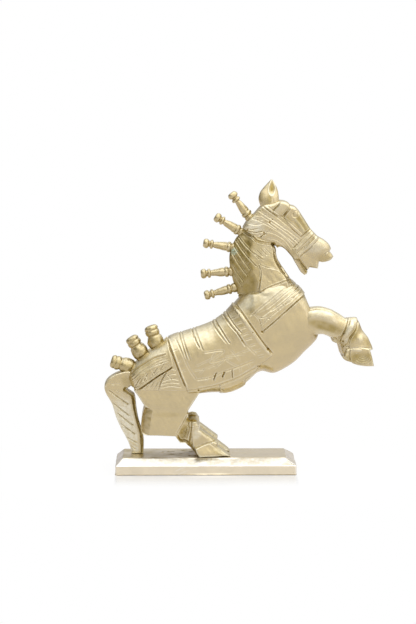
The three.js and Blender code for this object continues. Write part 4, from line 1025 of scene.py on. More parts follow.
def slab(outline, faces_at, spacing, corner=34.0):
    """A flat casting. faces_at gives the near y, the far y and the wear at points inside the outline."""
    edge = counter_clockwise(through(outline, EDGE_SPACING, closed=True, corner=corner))
    flat, triangles, border = filled_outline(edge, spacing)
    gap = outline_distance(flat, edge)
    gap[border] = 0.0
    near, far, wear = faces_at(flat, gap)
    count = len(flat)
    sides = np.vstack([np.column_stack([flat[:, 0], near, flat[:, 1]]),
                       np.column_stack([flat[:, 0], far, flat[:, 1]])])
    steps = max(2, round(float(np.mean(far[border] - near[border])) / RIM_STEP))
    rows = [border]
    extra = []
    for k in range(1, steps):
        share = k / steps
        y = near[border] * (1 - share) + far[border] * share
        extra.append(np.column_stack([flat[border][:, 0], y, flat[border][:, 1]]))
        rows.append(2 * count + (k - 1) * len(border) + np.arange(len(border)))
    rows.append(border + count)
    quads = []
    for low, high in zip(rows[:-1], rows[1:]):
        quads.append(np.column_stack([low, high, np.roll(high, -1), np.roll(low, -1)]))
    points = np.vstack([sides] + extra)
    # The rim's edge faces take painted shade, laid into the patina.
    rim = np.tile(np.maximum(0.6 * wear[border], (0.0, 0.0, RIM_PAINTED_SHADE, 0.0)), (steps - 1, 1))
    faces = [triangles, triangles[:, ::-1] + count, np.vstack(quads)]
    return Casting(points, faces, np.vstack([wear, wear, rim]))


def eased(gap, radius):
    """How far a rounded edge drops at a distance from the outline."""
    inset = radius - np.minimum(gap, radius)
    return radius - np.sqrt(np.maximum(radius ** 2 - inset ** 2, 0))


LATHE_SPACING = 0.45


def lathe(profile, foot, aim, sides, seed, lumps):
    """A turned piece standing on its foot point and aiming at a second point, both in the side view."""
    curve = through(profile, LATHE_SPACING, corner=60.0)
    axis = np.array([aim[0] - foot[0], 0.0, aim[1] - foot[1]])
    axis /= np.linalg.norm(axis)
    across = np.array([0.0, 1.0, 0.0])
    third = np.cross(axis, across)
    base = np.array([foot[0], 0.0, foot[1]])
    angle = np.arange(sides) * TAU / sides
    round_way = np.cos(angle)[:, None] * across + np.sin(angle)[:, None] * third
    inner = curve[1:-1]
    rings = base + inner[:, 1, None, None] * axis + inner[:, 0, None, None] * round_way[None]
    flat = rings.reshape(-1, 3)
    out = np.broadcast_to(round_way, rings.shape).reshape(-1, 3)
    uneven = lumps * ripple(flat, 7.5, seed) + 0.4 * lumps * ripple(flat, 3.2, seed + 40)
    flat = flat + out * uneven[:, None]
    return loft(flat.reshape(rings.shape), np.zeros((len(flat), 4)))


def make_object(name, casting, finish, node):
    """Turns a casting into a mesh object that stands for its node."""
    mesh = bpy.data.meshes.new(name)
    points = casting.points * MM
    points[:, 2] += PLINTH_HIGH.z
    counts = np.concatenate([np.full(len(group), group.shape[1]) for group in casting.faces])
    corners = np.concatenate([group.ravel() for group in casting.faces])
    starts = np.concatenate([[0], np.cumsum(counts)[:-1]])
    mesh.vertices.add(len(points))
    mesh.vertices.foreach_set("co", points.ravel().astype(np.float32))
    mesh.loops.add(len(corners))
    mesh.loops.foreach_set("vertex_index", corners.astype(np.int32))
    mesh.polygons.add(len(counts))
    mesh.polygons.foreach_set("loop_start", starts.astype(np.int32))
    mesh.polygons.foreach_set("use_smooth", np.ones(len(counts), bool))
    mesh.update(calc_edges=True)
    for column, word in enumerate(WEAR):
        attribute = mesh.attributes.new(word, "FLOAT", "POINT")
        values = np.ascontiguousarray(casting.wear[:, column], dtype=np.float32)
        attribute.data.foreach_set("value", values)
    mesh.materials.append(material_for(finish))
    piece = bpy.data.objects.new(name, mesh)
    bpy.context.scene.collection.objects.link(piece)
    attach(piece, "root")
    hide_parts(node)


def lofted_rings(upper_points, lower_points, halves, section, centre, sides):
    """The rings of a loft, one for each pair of an upper and a lower point and its half width."""
    rings = []
    for upper, lower, half in zip(upper_points, lower_points, halves):
        rings.append(section_ring(upper, lower, half, *section, centre, sides))
    return np.array(rings)


def torso_casting(sizes):
    """The barrel, chest and rump with their harness, and the cloth's flap under the belly."""
    back = at_stations(TORSO_STATIONS, (0, 4, 1), 400)
    belly = at_stations(TORSO_STATIONS, (2, 5, 3, 6), 400)
    rings = []
    for upper, lower in zip(back, belly):
        section = rounded_section(lower[1], lower[3])
        rings.append(section_ring(upper[[0, 2]], lower[[0, 2]], upper[1], *section, 0.0, 540))
    proud = sizes.cloth_thickness / MM

    def carve(p, normal):
        x, y, z = p.T
        work = Carving(x, z, sizes.carving_depth)
        for outline, share, edge in TORSO_PANELS:
            work.panel(outline, share * proud, edge)
        work.ridges(CLOTH_EDGES)
        for table in (CLOTH_LINES, STRAP_LINES, CRUPPER_LINES):
            work.lines(table)
        work.pits(TORSO_PITS)
        band = smooth((PEG_BAND_HALF - np.abs(y)) / 3.0) * smooth((PEG_BAND_END - x) / 4.0)
        band = band * smooth(normal[:, 2] * 3)
        work.height -= PEG_BAND_DEPTH * band
        work.residue = np.maximum(work.residue, 0.35 * band)
        below = smooth(-3 * normal[:, 2] - 0.9)
        flap = smooth((x - FLAP[0]) / 0.8) * smooth((FLAP[1] - x) / 1.2) * below
        work.height += FLAP_DROP * flap
        work.swells(TORSO_SWELLS)
        work.worn(dark=TORSO_DARK, bright=TORSO_PAINTED_HIGHLIGHTS)
        return work.height + skin(p, TORSO_SKIN), work.wear()

    # A painted highlight on the back's upward faces.
    return displaced(np.array(rings), carve).weather(rubbed_and_highlit=0.65)


def neck_casting(sizes):
    """The faceted neck with the mane's lines: an even patina, painted shade over it towards the mane, and
    painted light that clears it towards the throat.
    """
    crest = at_stations(NECK_STATIONS, (0, 4, 1), 210)
    throat = at_stations(NECK_STATIONS, (2, 4, 3), 210)
    half_section = through(NECK_SECTION, 0.02, corner=20.0)
    section = np.vstack([half_section, half_section[::-1][1:-1] * (1, -1)])
    for _ in range(8):
        section = 0.5 * section + 0.25 * (np.roll(section, 1, axis=0) + np.roll(section, -1, axis=0))
    halves = NECK_TOP_HALF + (NECK_BASE_HALF - NECK_TOP_HALF) * crest[:, 1]
    rings = lofted_rings(crest[:, [0, 2]], throat[:, [0, 2]], halves, section.T, 0.0, 340)

    def carve(p, normal):
        x, z = p[:, 0], p[:, 2]
        work = Carving(x, z, sizes.carving_depth)
        work.panel(NECK_PANEL, 0.8, 0.8)
        work.lines(NECK_LINES)
        work.pits(NECK_PITS)
        # An even patina; painted shade darkens it on the mane-side facet, and painted light clears it from
        # the throat side.
        rise = z - NECK_MIDDLE_Z
        work.patina = 0.55 + 0.45 * smooth((NECK_PAINTED_SHADE_EDGE - 0.12 * rise - x) / 4.0)
        work.patina *= 1 - 0.85 * smooth((x - NECK_PAINTED_LIGHT_EDGE - 0.1 * rise) / 4.0)
        work.verdigris = work.oval(VERDIGRIS, VERDIGRIS_RADIUS, VERDIGRIS_RADIUS)
        work.worn(dark=NECK_DARK, bright=NECK_BRIGHT)
        return work.height + skin(p, NECK_SKIN), work.wear()

    return displaced(rings, carve).weather()


def head_casting(sizes):
    """The head with its bridle, forelock and eye, the same on both sides."""
    def faces_at(flat, gap):
        work = Carving(flat[:, 0], flat[:, 1], sizes.carving_depth)
        work.panels(HEAD_PANELS)
        work.lines(HEAD_LINES)
        work.pits(HEAD_PITS)
        work.ridges(HEAD_RIDGES)
        eye_ring(work)
        work.swells(HEAD_SWELLS)
        work.worn(dark=HEAD_PATINA_AND_SHADE, bright=HEAD_PAINTED_HIGHLIGHTS)
        half = CHEEK_HALF + (MUZZLE_HALF - CHEEK_HALF) * smooth((flat[:, 0] - 62.0) / 60.0)
        out = half - eased(gap, 3.8) + (work.height + skin(flat, HEAD_SKIN)) * smooth(gap / 1.6 + 0.15)
        return -out, out, work.wear()

    return slab(HEAD_OUTLINE, faces_at, 0.5).weather()


def eye_ring(work):
    """A lidded eye: an oval line round a low bead."""
    offset = (work.points - np.array(EYE)) @ np.array([[0.86, 0.51], [-0.51, 0.86]])
    oval = np.hypot(offset[:, 0] / EYE_HALVES[0], offset[:, 1] / EYE_HALVES[1])
    rim = np.exp(-(((oval - 1.0) / 0.2) ** 2))
    lid = np.exp(-(((oval - 1.45) / 0.22) ** 2))
    work.height += 0.25 * lid - 0.35 * rim + 0.3 * smooth(1.0 - oval)
    work.residue = np.maximum(work.residue, 0.25 * rim)
    work.polish = np.maximum(work.polish, 0.3 * smooth(1.1 - oval))


def jaw_casting():
    """The thin lower jaw, dark and soiled along the edge under the open mouth."""
    def faces_at(flat, gap):
        work = Carving(flat[:, 0], flat[:, 1])
        strip = smooth(1.4 - path_distance(flat, np.array(JAW_RIM))[0] / 1.4)
        work.residue = 0.5 * strip * smooth(0.5 + 0.8 * ripple(flat, 3.0, 42))
        work.patina = strip
        out = JAW_HALF - eased(gap, 0.9) + skin(flat, JAW_SKIN)
        return -out, out, work.wear()

    return slab(JAW_OUTLINE, faces_at, 0.5, corner=50.0).weather()


def ear_casting(side):
    """A leaf-shaped ear with a lipped hollow near its tip, on the near side at -1 or the far side at 1."""
    angle = np.arange(96) * TAU / 96
    rings = []
    for share, middle, half, thick in at_stations(EAR_STATIONS, (0, 1, 2, 3), 90):
        y = side * (EAR_FOOT_Y + (EAR_TIP_Y - EAR_FOOT_Y) * max(share, 0) ** 1.3)
        z = EAR_FOOT_Z + (EAR_TIP_Z - EAR_FOOT_Z) * share
        rings.append(np.column_stack([middle + half * np.cos(angle), y + thick / 2 * np.sin(angle),
                                      np.full(96, z)]))

    def carve(p, normal):
        x, z = p[:, 0], p[:, 2]
        work = Carving(x, z)
        outer = smooth(side * normal[:, 1] * 1.6)
        middle = EAR_HOLLOW[0] + 0.06 * (z - 262.0)
        across = (x - middle) / (EAR_HOLLOW_HALF - 0.12 * np.clip(z - 266.0, 0, None))
        oval = np.hypot(across, (z - EAR_HOLLOW[1]) / EAR_HOLLOW_RISE)
        hollow = smooth(1.35 - oval) * outer
        lip = np.exp(-(((oval - 1.2) / 0.2) ** 2)) * outer
        crease = np.exp(-(((x - EAR_CREASE_X + 0.1 * (z - 255.0)) / 0.8) ** 2)) * outer
        crease *= smooth((EAR_CREASE_TOP - z) / 5.0)
        work.height = 0.4 * lip - 1.1 * hollow - 0.5 * crease + 0.7 * outer * work.oval(*EAR_SWELL)
        work.residue = 0.35 * hollow ** 2 + 0.15 * crease
        work.polish = 0.9 * lip
        work.patina = np.maximum(hollow, 0.7 * outer * work.oval(*EAR_DARK))
        return work.height + skin(p, EAR_SKIN), work.wear()

    # A weaker painted highlight on the ear's upward faces.
    return displaced(np.array(rings), carve).weather(rubbed_and_highlit=0.3)


def foreleg_casting(side, sizes):
    """A bent foreleg with its cuff, hoof and tuft, on the near side at -1 or the far side at 1."""
    centre = side * FORELEG_CENTRE
    front = at_stations(FORELEG_STATIONS, (0, 4, 1), 170)
    rear = at_stations(FORELEG_STATIONS, (2, 4, 3), 170)
    rings = lofted_rings(front[:, [0, 2]], rear[:, [0, 2]], front[:, 1], rounded_section(2.1), centre, 200)

    def carve(p, normal):
        work = Carving(p[:, 0], p[:, 2], sizes.carving_depth)
        work.panel(CUFF, 1.7, 2.2)
        work.ridges(FORELEG_RIDGES)
        work.lines(FORELEG_LINES)
        work.pits(FORELEG_PITS)
        work.worn(dark=FORELEG_PAINTED_SHADE, bright=FORELEG_PAINTED_HIGHLIGHTS)
        return work.height + skin(p, FORELEG_SKIN), work.wear()

    def hoof_faces(flat, gap):
        work = Carving(flat[:, 0], flat[:, 1], sizes.carving_depth)
        for k in range(5):
            ring = arc(FORE_HOOF_RING_CENTRE, 3.2 + 2.2 * k, -150 + 4 * k, -25 - 2 * k)
            work.groove(ring, 1.1, 0.25, 0.12)
        work.groove(FORE_HOOF_SEAM, 1.6, 0.6, 0.25)
        work.facet((146.0, 108.0), (148.0, 92.0), -0.06, 1.0)
        work.swells(FORE_HOOF_SWELLS)
        work.worn(dark=FORE_HOOF_DARK)
        out = FORE_HOOF_HALF - 0.6 - eased(gap, 2.0)
        out = out + (work.height + skin(flat, FORE_HOOF_SKIN)) * smooth(gap)
        return centre - out, centre + out, work.wear()

    def tuft_faces(flat, gap):
        work = Carving(flat[:, 0], flat[:, 1], sizes.carving_depth)
        work.groove(TUFT_CURL, 0.9, 0.4, 0.5)
        work.patina = np.full(len(flat), 0.3)
        out = TUFT_HALF - eased(gap, 1.6) + work.height * smooth(gap) + skin(flat, TUFT_SKIN)
        return centre - out, centre + out, work.wear()

    arm = displaced(rings, carve)
    hoof = slab(FORE_HOOF, hoof_faces, 0.55)
    tuft = slab(TUFT, tuft_faces, 0.55, corner=60.0)
    whole = arm.joined(hoof).joined(tuft).weather(gain=0.6)
    return whole.lowered(FAR_FORELEG_DROP) if side > 0 else whole


def arc(centre, radius, start, stop):
    """Points along part of a circle, from one angle to another."""
    angle = np.radians(np.linspace(start, stop, 9))
    return [(centre[0] + radius * math.cos(a), centre[1] + radius * math.sin(a)) for a in angle]


def hind_leg_casting(side, sizes):
    """A hind leg from haunch to hoof, on the near side at -1 or the far side at 1."""
    def faces_at(flat, gap):
        work = Carving(flat[:, 0], flat[:, 1], sizes.carving_depth)
        x, z = flat.T
        knee = 46.2 + 0.006 * (x + 30.0) ** 2
        thigh = smooth((z - knee) / 3.0)
        work.height += 0.5 * thigh - 0.03 * np.clip(z - knee, 0, 16) * thigh
        rear = np.clip(-54.1 + 0.139 * (z - 38.0) - x, 0, None) * smooth((knee - 0.5 - z) / 1.5)
        under = np.clip(28.0 - z, 0, None) * smooth((-12.0 - x) / 3.0)
        work.height -= 0.5 * rear + 0.18 * under
        work.panels(((PASTERN, 1.3, 2.0), (HIND_HOOF, 0.9, 1.6)))
        work.facets(HIND_LEG_FACETS)
        work.lines(HIND_LEG_LINES)
        for k in range(5):
            start = np.array(SHANK_STROKE) + k * np.array(SHANK_STROKE_STEP)
            work.groove((start, start + SHANK_STROKE_RUN), 1.0, 0.38, 0.3)
        work.pits(HIND_LEG_PITS)
        work.worn(dark=HIND_LEG_PATINA_AND_SHADE, bright=HIND_LEG_PAINTED_HIGHLIGHT, soiled=HIND_LEG_SOILED_AND_SHADED)
        radius = 1.6 + 3.6 * smooth((x + 19.0) / 3.0) * smooth((37.0 - z) / 3.0)
        outer = HIND_LEG_OUTER - 1.0 - eased(gap, radius)
        outer = outer + (work.height + skin(flat, HIND_LEG_SKIN)) * smooth(gap / 1.2 + 0.1)
        inner = HIND_LEG_INNER + eased(gap, radius) - 0.05 * ripple(flat, 9.0, 73)
        if side < 0:
            return -outer, -inner, work.wear()
        return inner, outer, work.wear()

    return slab(HIND_LEG, faces_at, 0.6).weather()


def tail_casting(sizes):
    """The tail with its hair lines, a painted highlight on its lower face and painted shade along its inner
    edge.
    """
    def faces_at(flat, gap):
        work = Carving(flat[:, 0], flat[:, 1], sizes.carving_depth)
        work.lines(TAIL_LINES)
        inner = path_distance(flat, np.array(TAIL_INNER_EDGE))[0]
        outer = path_distance(flat, np.array(TAIL_OUTER_EDGE))[0]
        work.height -= 0.9 * np.clip(3.0 - inner, 0, None)
        work.height -= 0.4 * np.clip(2.4 - outer, 0, None)
        # Painted shade along the inner edge's facet, and a painted highlight on the tail's lower face.
        work.patina = 0.85 * smooth(1.8 - inner / 2.2)
        work.polish = 0.9 * smooth((66.0 - flat[:, 1]) / 20.0) * smooth((inner - 3.0) / 3.0)
        work.worn(dark=TAIL_PAINTED_SHADE)
        half = 5.0 + 4.0 * smooth(flat[:, 1] / 80.0)
        out = half - eased(gap, 1.6) + (work.height + skin(flat, TAIL_SKIN)) * smooth(gap / 1.2 + 0.1)
        return -out, out, work.wear()

    return slab(TAIL, faces_at, 0.6).weather()


def plinth_rows(half_y, high):
    """Inset and height of each row, from the underside's middle, out and up, to the top's middle."""
    bottom = ((0.9, -high), (0.25, -high + 0.3), (0.0, -high + 0.9))
    low_edge = ((0.0, -7.6), (0.12, -7.0), (0.7, -CHAMFER_DROP))
    high_edge = ((CHAMFER_INSET, -0.45), (9.2, -0.1), (10.2, 0.0))
    rows = [(inset, -high) for inset in np.arange(half_y - 1.0, 1.0, -1.6)]
    rows += through(bottom, 0.3, corner=200.0).tolist()
    rows += [(0.0, z) for z in np.arange(-high + 1.8, -8.0, 0.9)]
    rows += through(low_edge, 0.3, corner=200.0).tolist()
    rows += [(0.7 + 7.9 * t, -CHAMFER_DROP + 6.1 * t) for t in np.linspace(0.08, 0.95, 12)]
    rows += through(high_edge, 0.3, corner=200.0).tolist()
    rows += [(inset, 0.0) for inset in np.arange(11.2, half_y - 0.6, 1.1)]
    return rows


def plinth_ring(x, y, z):
    """A rectangle with rounded corners at a height, shifted a little where the chamfer has begun."""
    corner = min(1.6, 0.45 * y)
    cut = 0.3 * corner
    shift = PLINTH_TOP_SHIFT * smooth((z + CHAMFER_DROP) / 6.0)
    loop = ((x - corner, -y), (x - cut, -y + cut), (x, -y + corner),
            (x, y - corner), (x - cut, y - cut), (x - corner, y),
            (-x + corner, y), (-x + cut, y - cut), (-x, y - corner),
            (-x, -y + corner), (-x + cut, -y + cut), (-x + corner, -y))
    return even_ring(np.array([(a + shift, b, z) for a, b in loop]), PLINTH_SIDES)


def top_dents(flat):
    """Small knocks on the plinth's top, between the tail and the hooves."""
    dents = Carving(flat[:, 0], flat[:, 1])
    rng = np.random.default_rng(DENT_SEED)
    for _ in range(DENT_COUNT):
        at = (rng.uniform(-46, -8), rng.uniform(-15, 12))
        turn = rng.uniform(-0.5, 0.5)
        reach = rng.uniform(2, 6)
        dents.groove((at, (at[0] + reach, at[1] + turn * reach)), rng.uniform(1.4, 2.8), 0.35, 1.0)
    return dents


def plinth_casting():
    """The chamfered plinth, uneven all over, with a painted highlight on its chamfer that is strongest at the
    front, painted shade along its front foot, and blotches of the horse's painted shade on its top.
    """
    half_x = (PLINTH_HIGH.x - PLINTH_LOW.x) / 2 / MM
    half_y = (PLINTH_HIGH.y - PLINTH_LOW.y) / 2 / MM
    high = (PLINTH_HIGH.z - PLINTH_LOW.z) / MM
    rings = np.array([plinth_ring(half_x - inset, half_y - inset, z)
                      for inset, z in plinth_rows(half_y, high)])
    flat = rings.reshape(-1, 3)
    x, y, z = flat.T
    normals = grid_normals(rings).reshape(-1, 3)
    normals[z > -0.02] = (0, 0, 1)
    top = smooth(normals[:, 2] * 4 - 3) * smooth((z + 0.6) * 4)
    side = smooth(-normals[:, 1] * 2)
    wave = 0.42 * ripple(flat * (1, 0.4, 0.4), 55.0, 91) + 0.16 * ripple(flat, 16.0, 92) - 0.25
    wave = wave * smooth((z + high) / 2.0) * (1 - 0.7 * top)
    mark = Carving(x, z)
    mark.groove(FRONT_MARK, 3.0, 0.25, 0.05, taper=5.0)
    dents = top_dents(flat)
    height = np.minimum(wave + side * mark.height + top * dents.height, 0.0) - 0.05
    height *= smooth(z + high)
    moved = flat + normals * height[:, None]
    # Blotches of the horse's painted shade on the top's left half, under the tail and the hind legs; a
    # painted highlight on the chamfer, strongest at the front; and painted shade along the front's foot.
    shaded_blotch = top * smooth(0.5 + 0.7 * ripple(flat, 26.0, 93)) * smooth((10.0 - x) / 30.0)
    chamfer = smooth(normals[:, 2] * 3 - 0.6) * (1 - top) * (0.15 + 0.85 * side)
    foot = smooth((1.2 - high - z) / 0.8) * side
    wear = np.column_stack([top * dents.residue + 0.8 * foot, np.maximum(side * mark.polish, chamfer),
                            0.25 * top + 0.5 * shaded_blotch, np.zeros(len(flat))])
    block = loft(moved.reshape(rings.shape), wear).weather(gain=0.7, rubbed_and_highlit=0.0)
    # The top's rows meet along its middle, where the bend that weather looks for is no real one.
    strip = np.flatnonzero(top * (np.abs(y) < 2.5) > 0.5)
    block.wear[strip] = wear[strip]
    block.wear[-1] = wear[-1]
    return block


VECTOR = "NodeSocketVector"
NUMBER = "NodeSocketFloat"
COLOUR = "NodeSocketColor"


def new_group(name, inputs, outputs):
    """A shader node group with named sockets, and its input and output nodes."""
    tree = bpy.data.node_groups.new(name, "ShaderNodeTree")
    for in_out, sockets in (("INPUT", inputs), ("OUTPUT", outputs)):
        for word, kind in sockets:
            tree.interface.new_socket(name=word, in_out=in_out, socket_type=kind)
    return tree, tree.nodes.new("NodeGroupInput"), tree.nodes.new("NodeGroupOutput")


def feed(value, socket):
    """Links another node's output to a socket, or sets the socket to a plain value."""
    if hasattr(value, "is_output"):
        socket.id_data.links.new(value, socket)
    else:
        socket.default_value = value


def noise(tree, vector, scale, detail, roughness=0.5):
    """A noise value over the surface."""
    node = tree.nodes.new("ShaderNodeTexNoise")
    feed(scale, node.inputs["Scale"])
    feed(detail, node.inputs["Detail"])
    feed(roughness, node.inputs["Roughness"])
    feed(vector, node.inputs["Vector"])
    return node.outputs["Fac"]


def maths(tree, operation, a, b=0.5, clamp=False):
    """One step of arithmetic on numbers or sockets."""
    node = tree.nodes.new("ShaderNodeMath")
    node.operation = operation
    node.use_clamp = clamp
    feed(a, node.inputs[0])
    feed(b, node.inputs[1])
    return node.outputs[0]


def spread(tree, value, low, high, to_low=0.0, to_high=1.0):
    """A value carried smoothly from one range to another."""
    node = tree.nodes.new("ShaderNodeMapRange")
    node.interpolation_type = "SMOOTHSTEP"
    for word, number in (("From Min", low), ("From Max", high), ("To Min", to_low), ("To Max", to_high)):
        feed(number, node.inputs[word])
    feed(value, node.inputs["Value"])
    return node.outputs["Result"]


def blend(tree, factor, a, b):
    """A mix of two colours."""
    node = tree.nodes.new("ShaderNodeMix")
    node.data_type = "RGBA"
    for value, socket in ((factor, node.inputs[0]), (a, node.inputs[6]), (b, node.inputs[7])):
        feed(value, socket)
    return node.outputs[2]


def cast_surface_group():
    """Uneven hand-finished metal: a height for bump, and a tone from 0 to 1."""
    tree, given, result = new_group(
        "Hand finished cast surface",
        (("Vector", VECTOR), ("Grain", NUMBER)),
        (("Height", NUMBER), ("Tone", NUMBER), ("Scuff", NUMBER)))
    vector = given.outputs["Vector"]
    broad = noise(tree, vector, 70.0, 3.0)
    middle = noise(tree, vector, 260.0, 4.0)
    fine = noise(tree, vector, 1500.0, 3.0, 0.6)
    stretch = tree.nodes.new("ShaderNodeMapping")
    feed((0.0, math.radians(32), 0.0), stretch.inputs["Rotation"])
    feed((260.0, 900.0, 2600.0), stretch.inputs["Scale"])
    feed(vector, stretch.inputs["Vector"])
    file_marks = noise(tree, stretch.outputs["Vector"], 1.0, 2.0, 0.5)
    tall = maths(tree, "MULTIPLY", middle, 0.55)
    low = maths(tree, "MULTIPLY", fine, 0.22)
    marks = maths(tree, "MULTIPLY", file_marks, 0.3)
    height = maths(tree, "ADD", maths(tree, "ADD", tall, low), marks)
    feed(maths(tree, "MULTIPLY", height, given.outputs["Grain"]), result.inputs["Height"])
    feed(spread(tree, broad, 0.3, 0.7), result.inputs["Tone"])
    feed(spread(tree, file_marks, 0.35, 0.75), result.inputs["Scuff"])
    return tree


PALE_RESIDUE = (0.38, 0.25, 0.045, 1.0)
VERDIGRIS_GREEN = (0.42, 0.58, 0.48, 1.0)


def crevice_group():
    """Residue held in the carving: a mask broken up by noise, from the mesh's own record."""
    tree, given, result = new_group(
        "Crevice residue",
        (("Vector", VECTOR), ("Residue", NUMBER), ("Metal", COLOUR), ("Stain", COLOUR)),
        (("Color", COLOUR), ("Mask", NUMBER)))
    broken = noise(tree, given.outputs["Vector"], 380.0, 4.0, 0.6)
    patchy = maths(tree, "MULTIPLY", maths(tree, "SUBTRACT", broken, 0.5), 0.5)
    lifted = maths(tree, "ADD", given.outputs["Residue"], patchy)
    gated = maths(tree, "MULTIPLY", lifted, spread(tree, given.outputs["Residue"], 0.02, 0.12))
    mask = spread(tree, gated, 0.18, 0.85)
    hue = noise(tree, given.outputs["Vector"], 160.0, 2.0)
    warm = blend(tree, spread(tree, hue, 0.35, 0.65), given.outputs["Stain"], PALE_RESIDUE)
    feed(blend(tree, mask, given.outputs["Metal"], warm), result.inputs["Color"])
    feed(mask, result.inputs["Mask"])
    return tree


def rubbing_and_highlight_group():
    """Worn crests and painted highlights: the metal lightens and turns smoother where it stands proud and
    where a highlight is painted.
    """
    tree, given, result = new_group(
        "Rubbed edges and painted highlights",
        (("Vector", VECTOR), ("Polish", NUMBER), ("Color", COLOUR), ("Bright", COLOUR)),
        (("Color", COLOUR), ("Mask", NUMBER)))
    broken = noise(tree, given.outputs["Vector"], 300.0, 3.0)
    patchy = spread(tree, broken, 0.25, 0.7, 0.45, 1.0)
    mask = maths(tree, "MULTIPLY", given.outputs["Polish"], patchy, clamp=True)
    rubbed_and_highlit = blend(tree, mask, given.outputs["Color"], given.outputs["Bright"])
    feed(rubbed_and_highlit, result.inputs["Color"])
    feed(mask, result.inputs["Mask"])
    return tree


def patina_group():
    """Metal never worn bright, and painted shade: a darker, yellower skin, and a pale green bloom in one damp
    corner.
    """
    tree, given, result = new_group(
        "Aged skin and painted shade",
        (("Vector", VECTOR), ("Patina", NUMBER), ("Verdigris", NUMBER), ("Color", COLOUR), ("Aged", COLOUR)),
        (("Color", COLOUR), ("Bloom", NUMBER), ("Mask", NUMBER)))
    cloudy = noise(tree, given.outputs["Vector"], 150.0, 4.0, 0.55)
    patchy = spread(tree, cloudy, 0.28, 0.66, 0.55, 1.0)
    mask = maths(tree, "MULTIPLY", given.outputs["Patina"], patchy, clamp=True)
    aged_and_shaded = blend(tree, mask, given.outputs["Color"], given.outputs["Aged"])
    broken = noise(tree, given.outputs["Vector"], 700.0, 3.0, 0.6)
    speckled = spread(tree, broken, 0.35, 0.6, 0.15, 0.9)
    bloom = maths(tree, "MULTIPLY", given.outputs["Verdigris"], speckled, clamp=True)
    feed(blend(tree, bloom, aged_and_shaded, VERDIGRIS_GREEN), result.inputs["Color"])
    feed(bloom, result.inputs["Bloom"])
    feed(mask, result.inputs["Mask"])
    return tree


GROUP_MAKERS = {
    "surface": cast_surface_group, "crevice": crevice_group, "wear": rubbing_and_highlight_group, "skin": patina_group,
}
groups = {}


def group_node(tree, word):
    """A node of one of the shared groups, which is built the first time."""
    if word not in groups:
        groups[word] = GROUP_MAKERS[word]()
    node = tree.nodes.new("ShaderNodeGroup")
    node.node_tree = groups[word]
    return node


# How the masks act: residue dulls and roughens, rubbing and painted highlights smooth, and patina and painted
# shade hide the coat.
RESIDUE_DULLS = 0.35
RESIDUE_ROUGHENS = 0.35
SCUFF_SPREAD = 0.1
POLISH_AND_HIGHLIGHT_SMOOTH = 0.08
PATINA_AND_SHADE_HIDE_COAT = 0.75
COAT_ROUGHNESS = 0.25
COAT_IOR = 2.5
BUMP_DISTANCE = 0.0004
BRASS_RIM = (0.92, 0.84, 0.62)
WHITE = (1.0, 1.0, 1.0)


def metal(name, colour, bright, roughness, bump, grain=1.0, shade=0.1, rim=BRASS_RIM):
    """Satin cast metal with its own grain, stained hollows, worn crests, painted highlights and painted
    shade.
    """
    material = bpy.data.materials.new(name)
    material.use_nodes = True
    tree = material.node_tree
    shader = tree.nodes["Principled BSDF"]
    place = tree.nodes.new("ShaderNodeTexCoord").outputs["Object"]
    surface = group_node(tree, "surface")
    feed(grain, surface.inputs["Grain"])
    crevice = group_node(tree, "crevice")
    wear = group_node(tree, "wear")
    aged_and_shaded = group_node(tree, "skin")
    for node in (surface, crevice, wear, aged_and_shaded):
        feed(place, node.inputs["Vector"])
    for word, node in zip(WEAR, (crevice, wear, aged_and_shaded, aged_and_shaded)):
        attribute = tree.nodes.new("ShaderNodeAttribute")
        attribute.attribute_name = word
        feed(attribute.outputs["Fac"], node.inputs[word.capitalize()])
    finish = bpy.context.scene.ornament_finish
    deep = tuple(c * (1 - shade) for c in colour) + (1.0,)
    toned = blend(tree, surface.outputs["Tone"], deep, (*colour, 1.0))
    feed(toned, aged_and_shaded.inputs["Color"])
    feed((*finish.patina_colour, 1.0), aged_and_shaded.inputs["Aged"])
    feed(aged_and_shaded.outputs["Color"], wear.inputs["Color"])
    feed((*bright, 1.0), wear.inputs["Bright"])
    feed(wear.outputs["Color"], crevice.inputs["Metal"])
    feed((*finish.residue_colour, 1.0), crevice.inputs["Stain"])
    feed(crevice.outputs["Color"], shader.inputs["Base Color"])
    residue, polish = crevice.outputs["Mask"], wear.outputs["Mask"]
    dull = maths(tree, "ADD", maths(tree, "MULTIPLY", residue, RESIDUE_DULLS), aged_and_shaded.outputs["Bloom"])
    feed(maths(tree, "SUBTRACT", 1.0, dull, clamp=True), shader.inputs["Metallic"])
    scuffed = maths(tree, "MULTIPLY", surface.outputs["Scuff"], SCUFF_SPREAD)
    scuffed = maths(tree, "ADD", scuffed, roughness - SCUFF_SPREAD / 2)
    smoothed = maths(tree, "SUBTRACT", scuffed, maths(tree, "MULTIPLY", polish, POLISH_AND_HIGHLIGHT_SMOOTH))
    rough = maths(tree, "ADD", smoothed, maths(tree, "MULTIPLY", residue, RESIDUE_ROUGHENS), clamp=True)
    feed(rough, shader.inputs["Roughness"])
    patina = maths(tree, "MULTIPLY", aged_and_shaded.outputs["Mask"], PATINA_AND_SHADE_HIDE_COAT)
    covered = maths(tree, "ADD", patina, residue)
    feed(maths(tree, "SUBTRACT", 1.0, covered, clamp=True), shader.inputs["Coat Weight"])
    feed((*rim, 1.0), shader.inputs["Specular Tint"])
    feed(COAT_ROUGHNESS, shader.inputs["Coat Roughness"])
    feed(COAT_IOR, shader.inputs["Coat IOR"])
    relief = tree.nodes.new("ShaderNodeBump")
    feed(bump, relief.inputs["Strength"])
    feed(BUMP_DISTANCE, relief.inputs["Distance"])
    feed(surface.outputs["Height"], relief.inputs["Height"])
    feed(relief.outputs["Normal"], shader.inputs["Normal"])
    return material


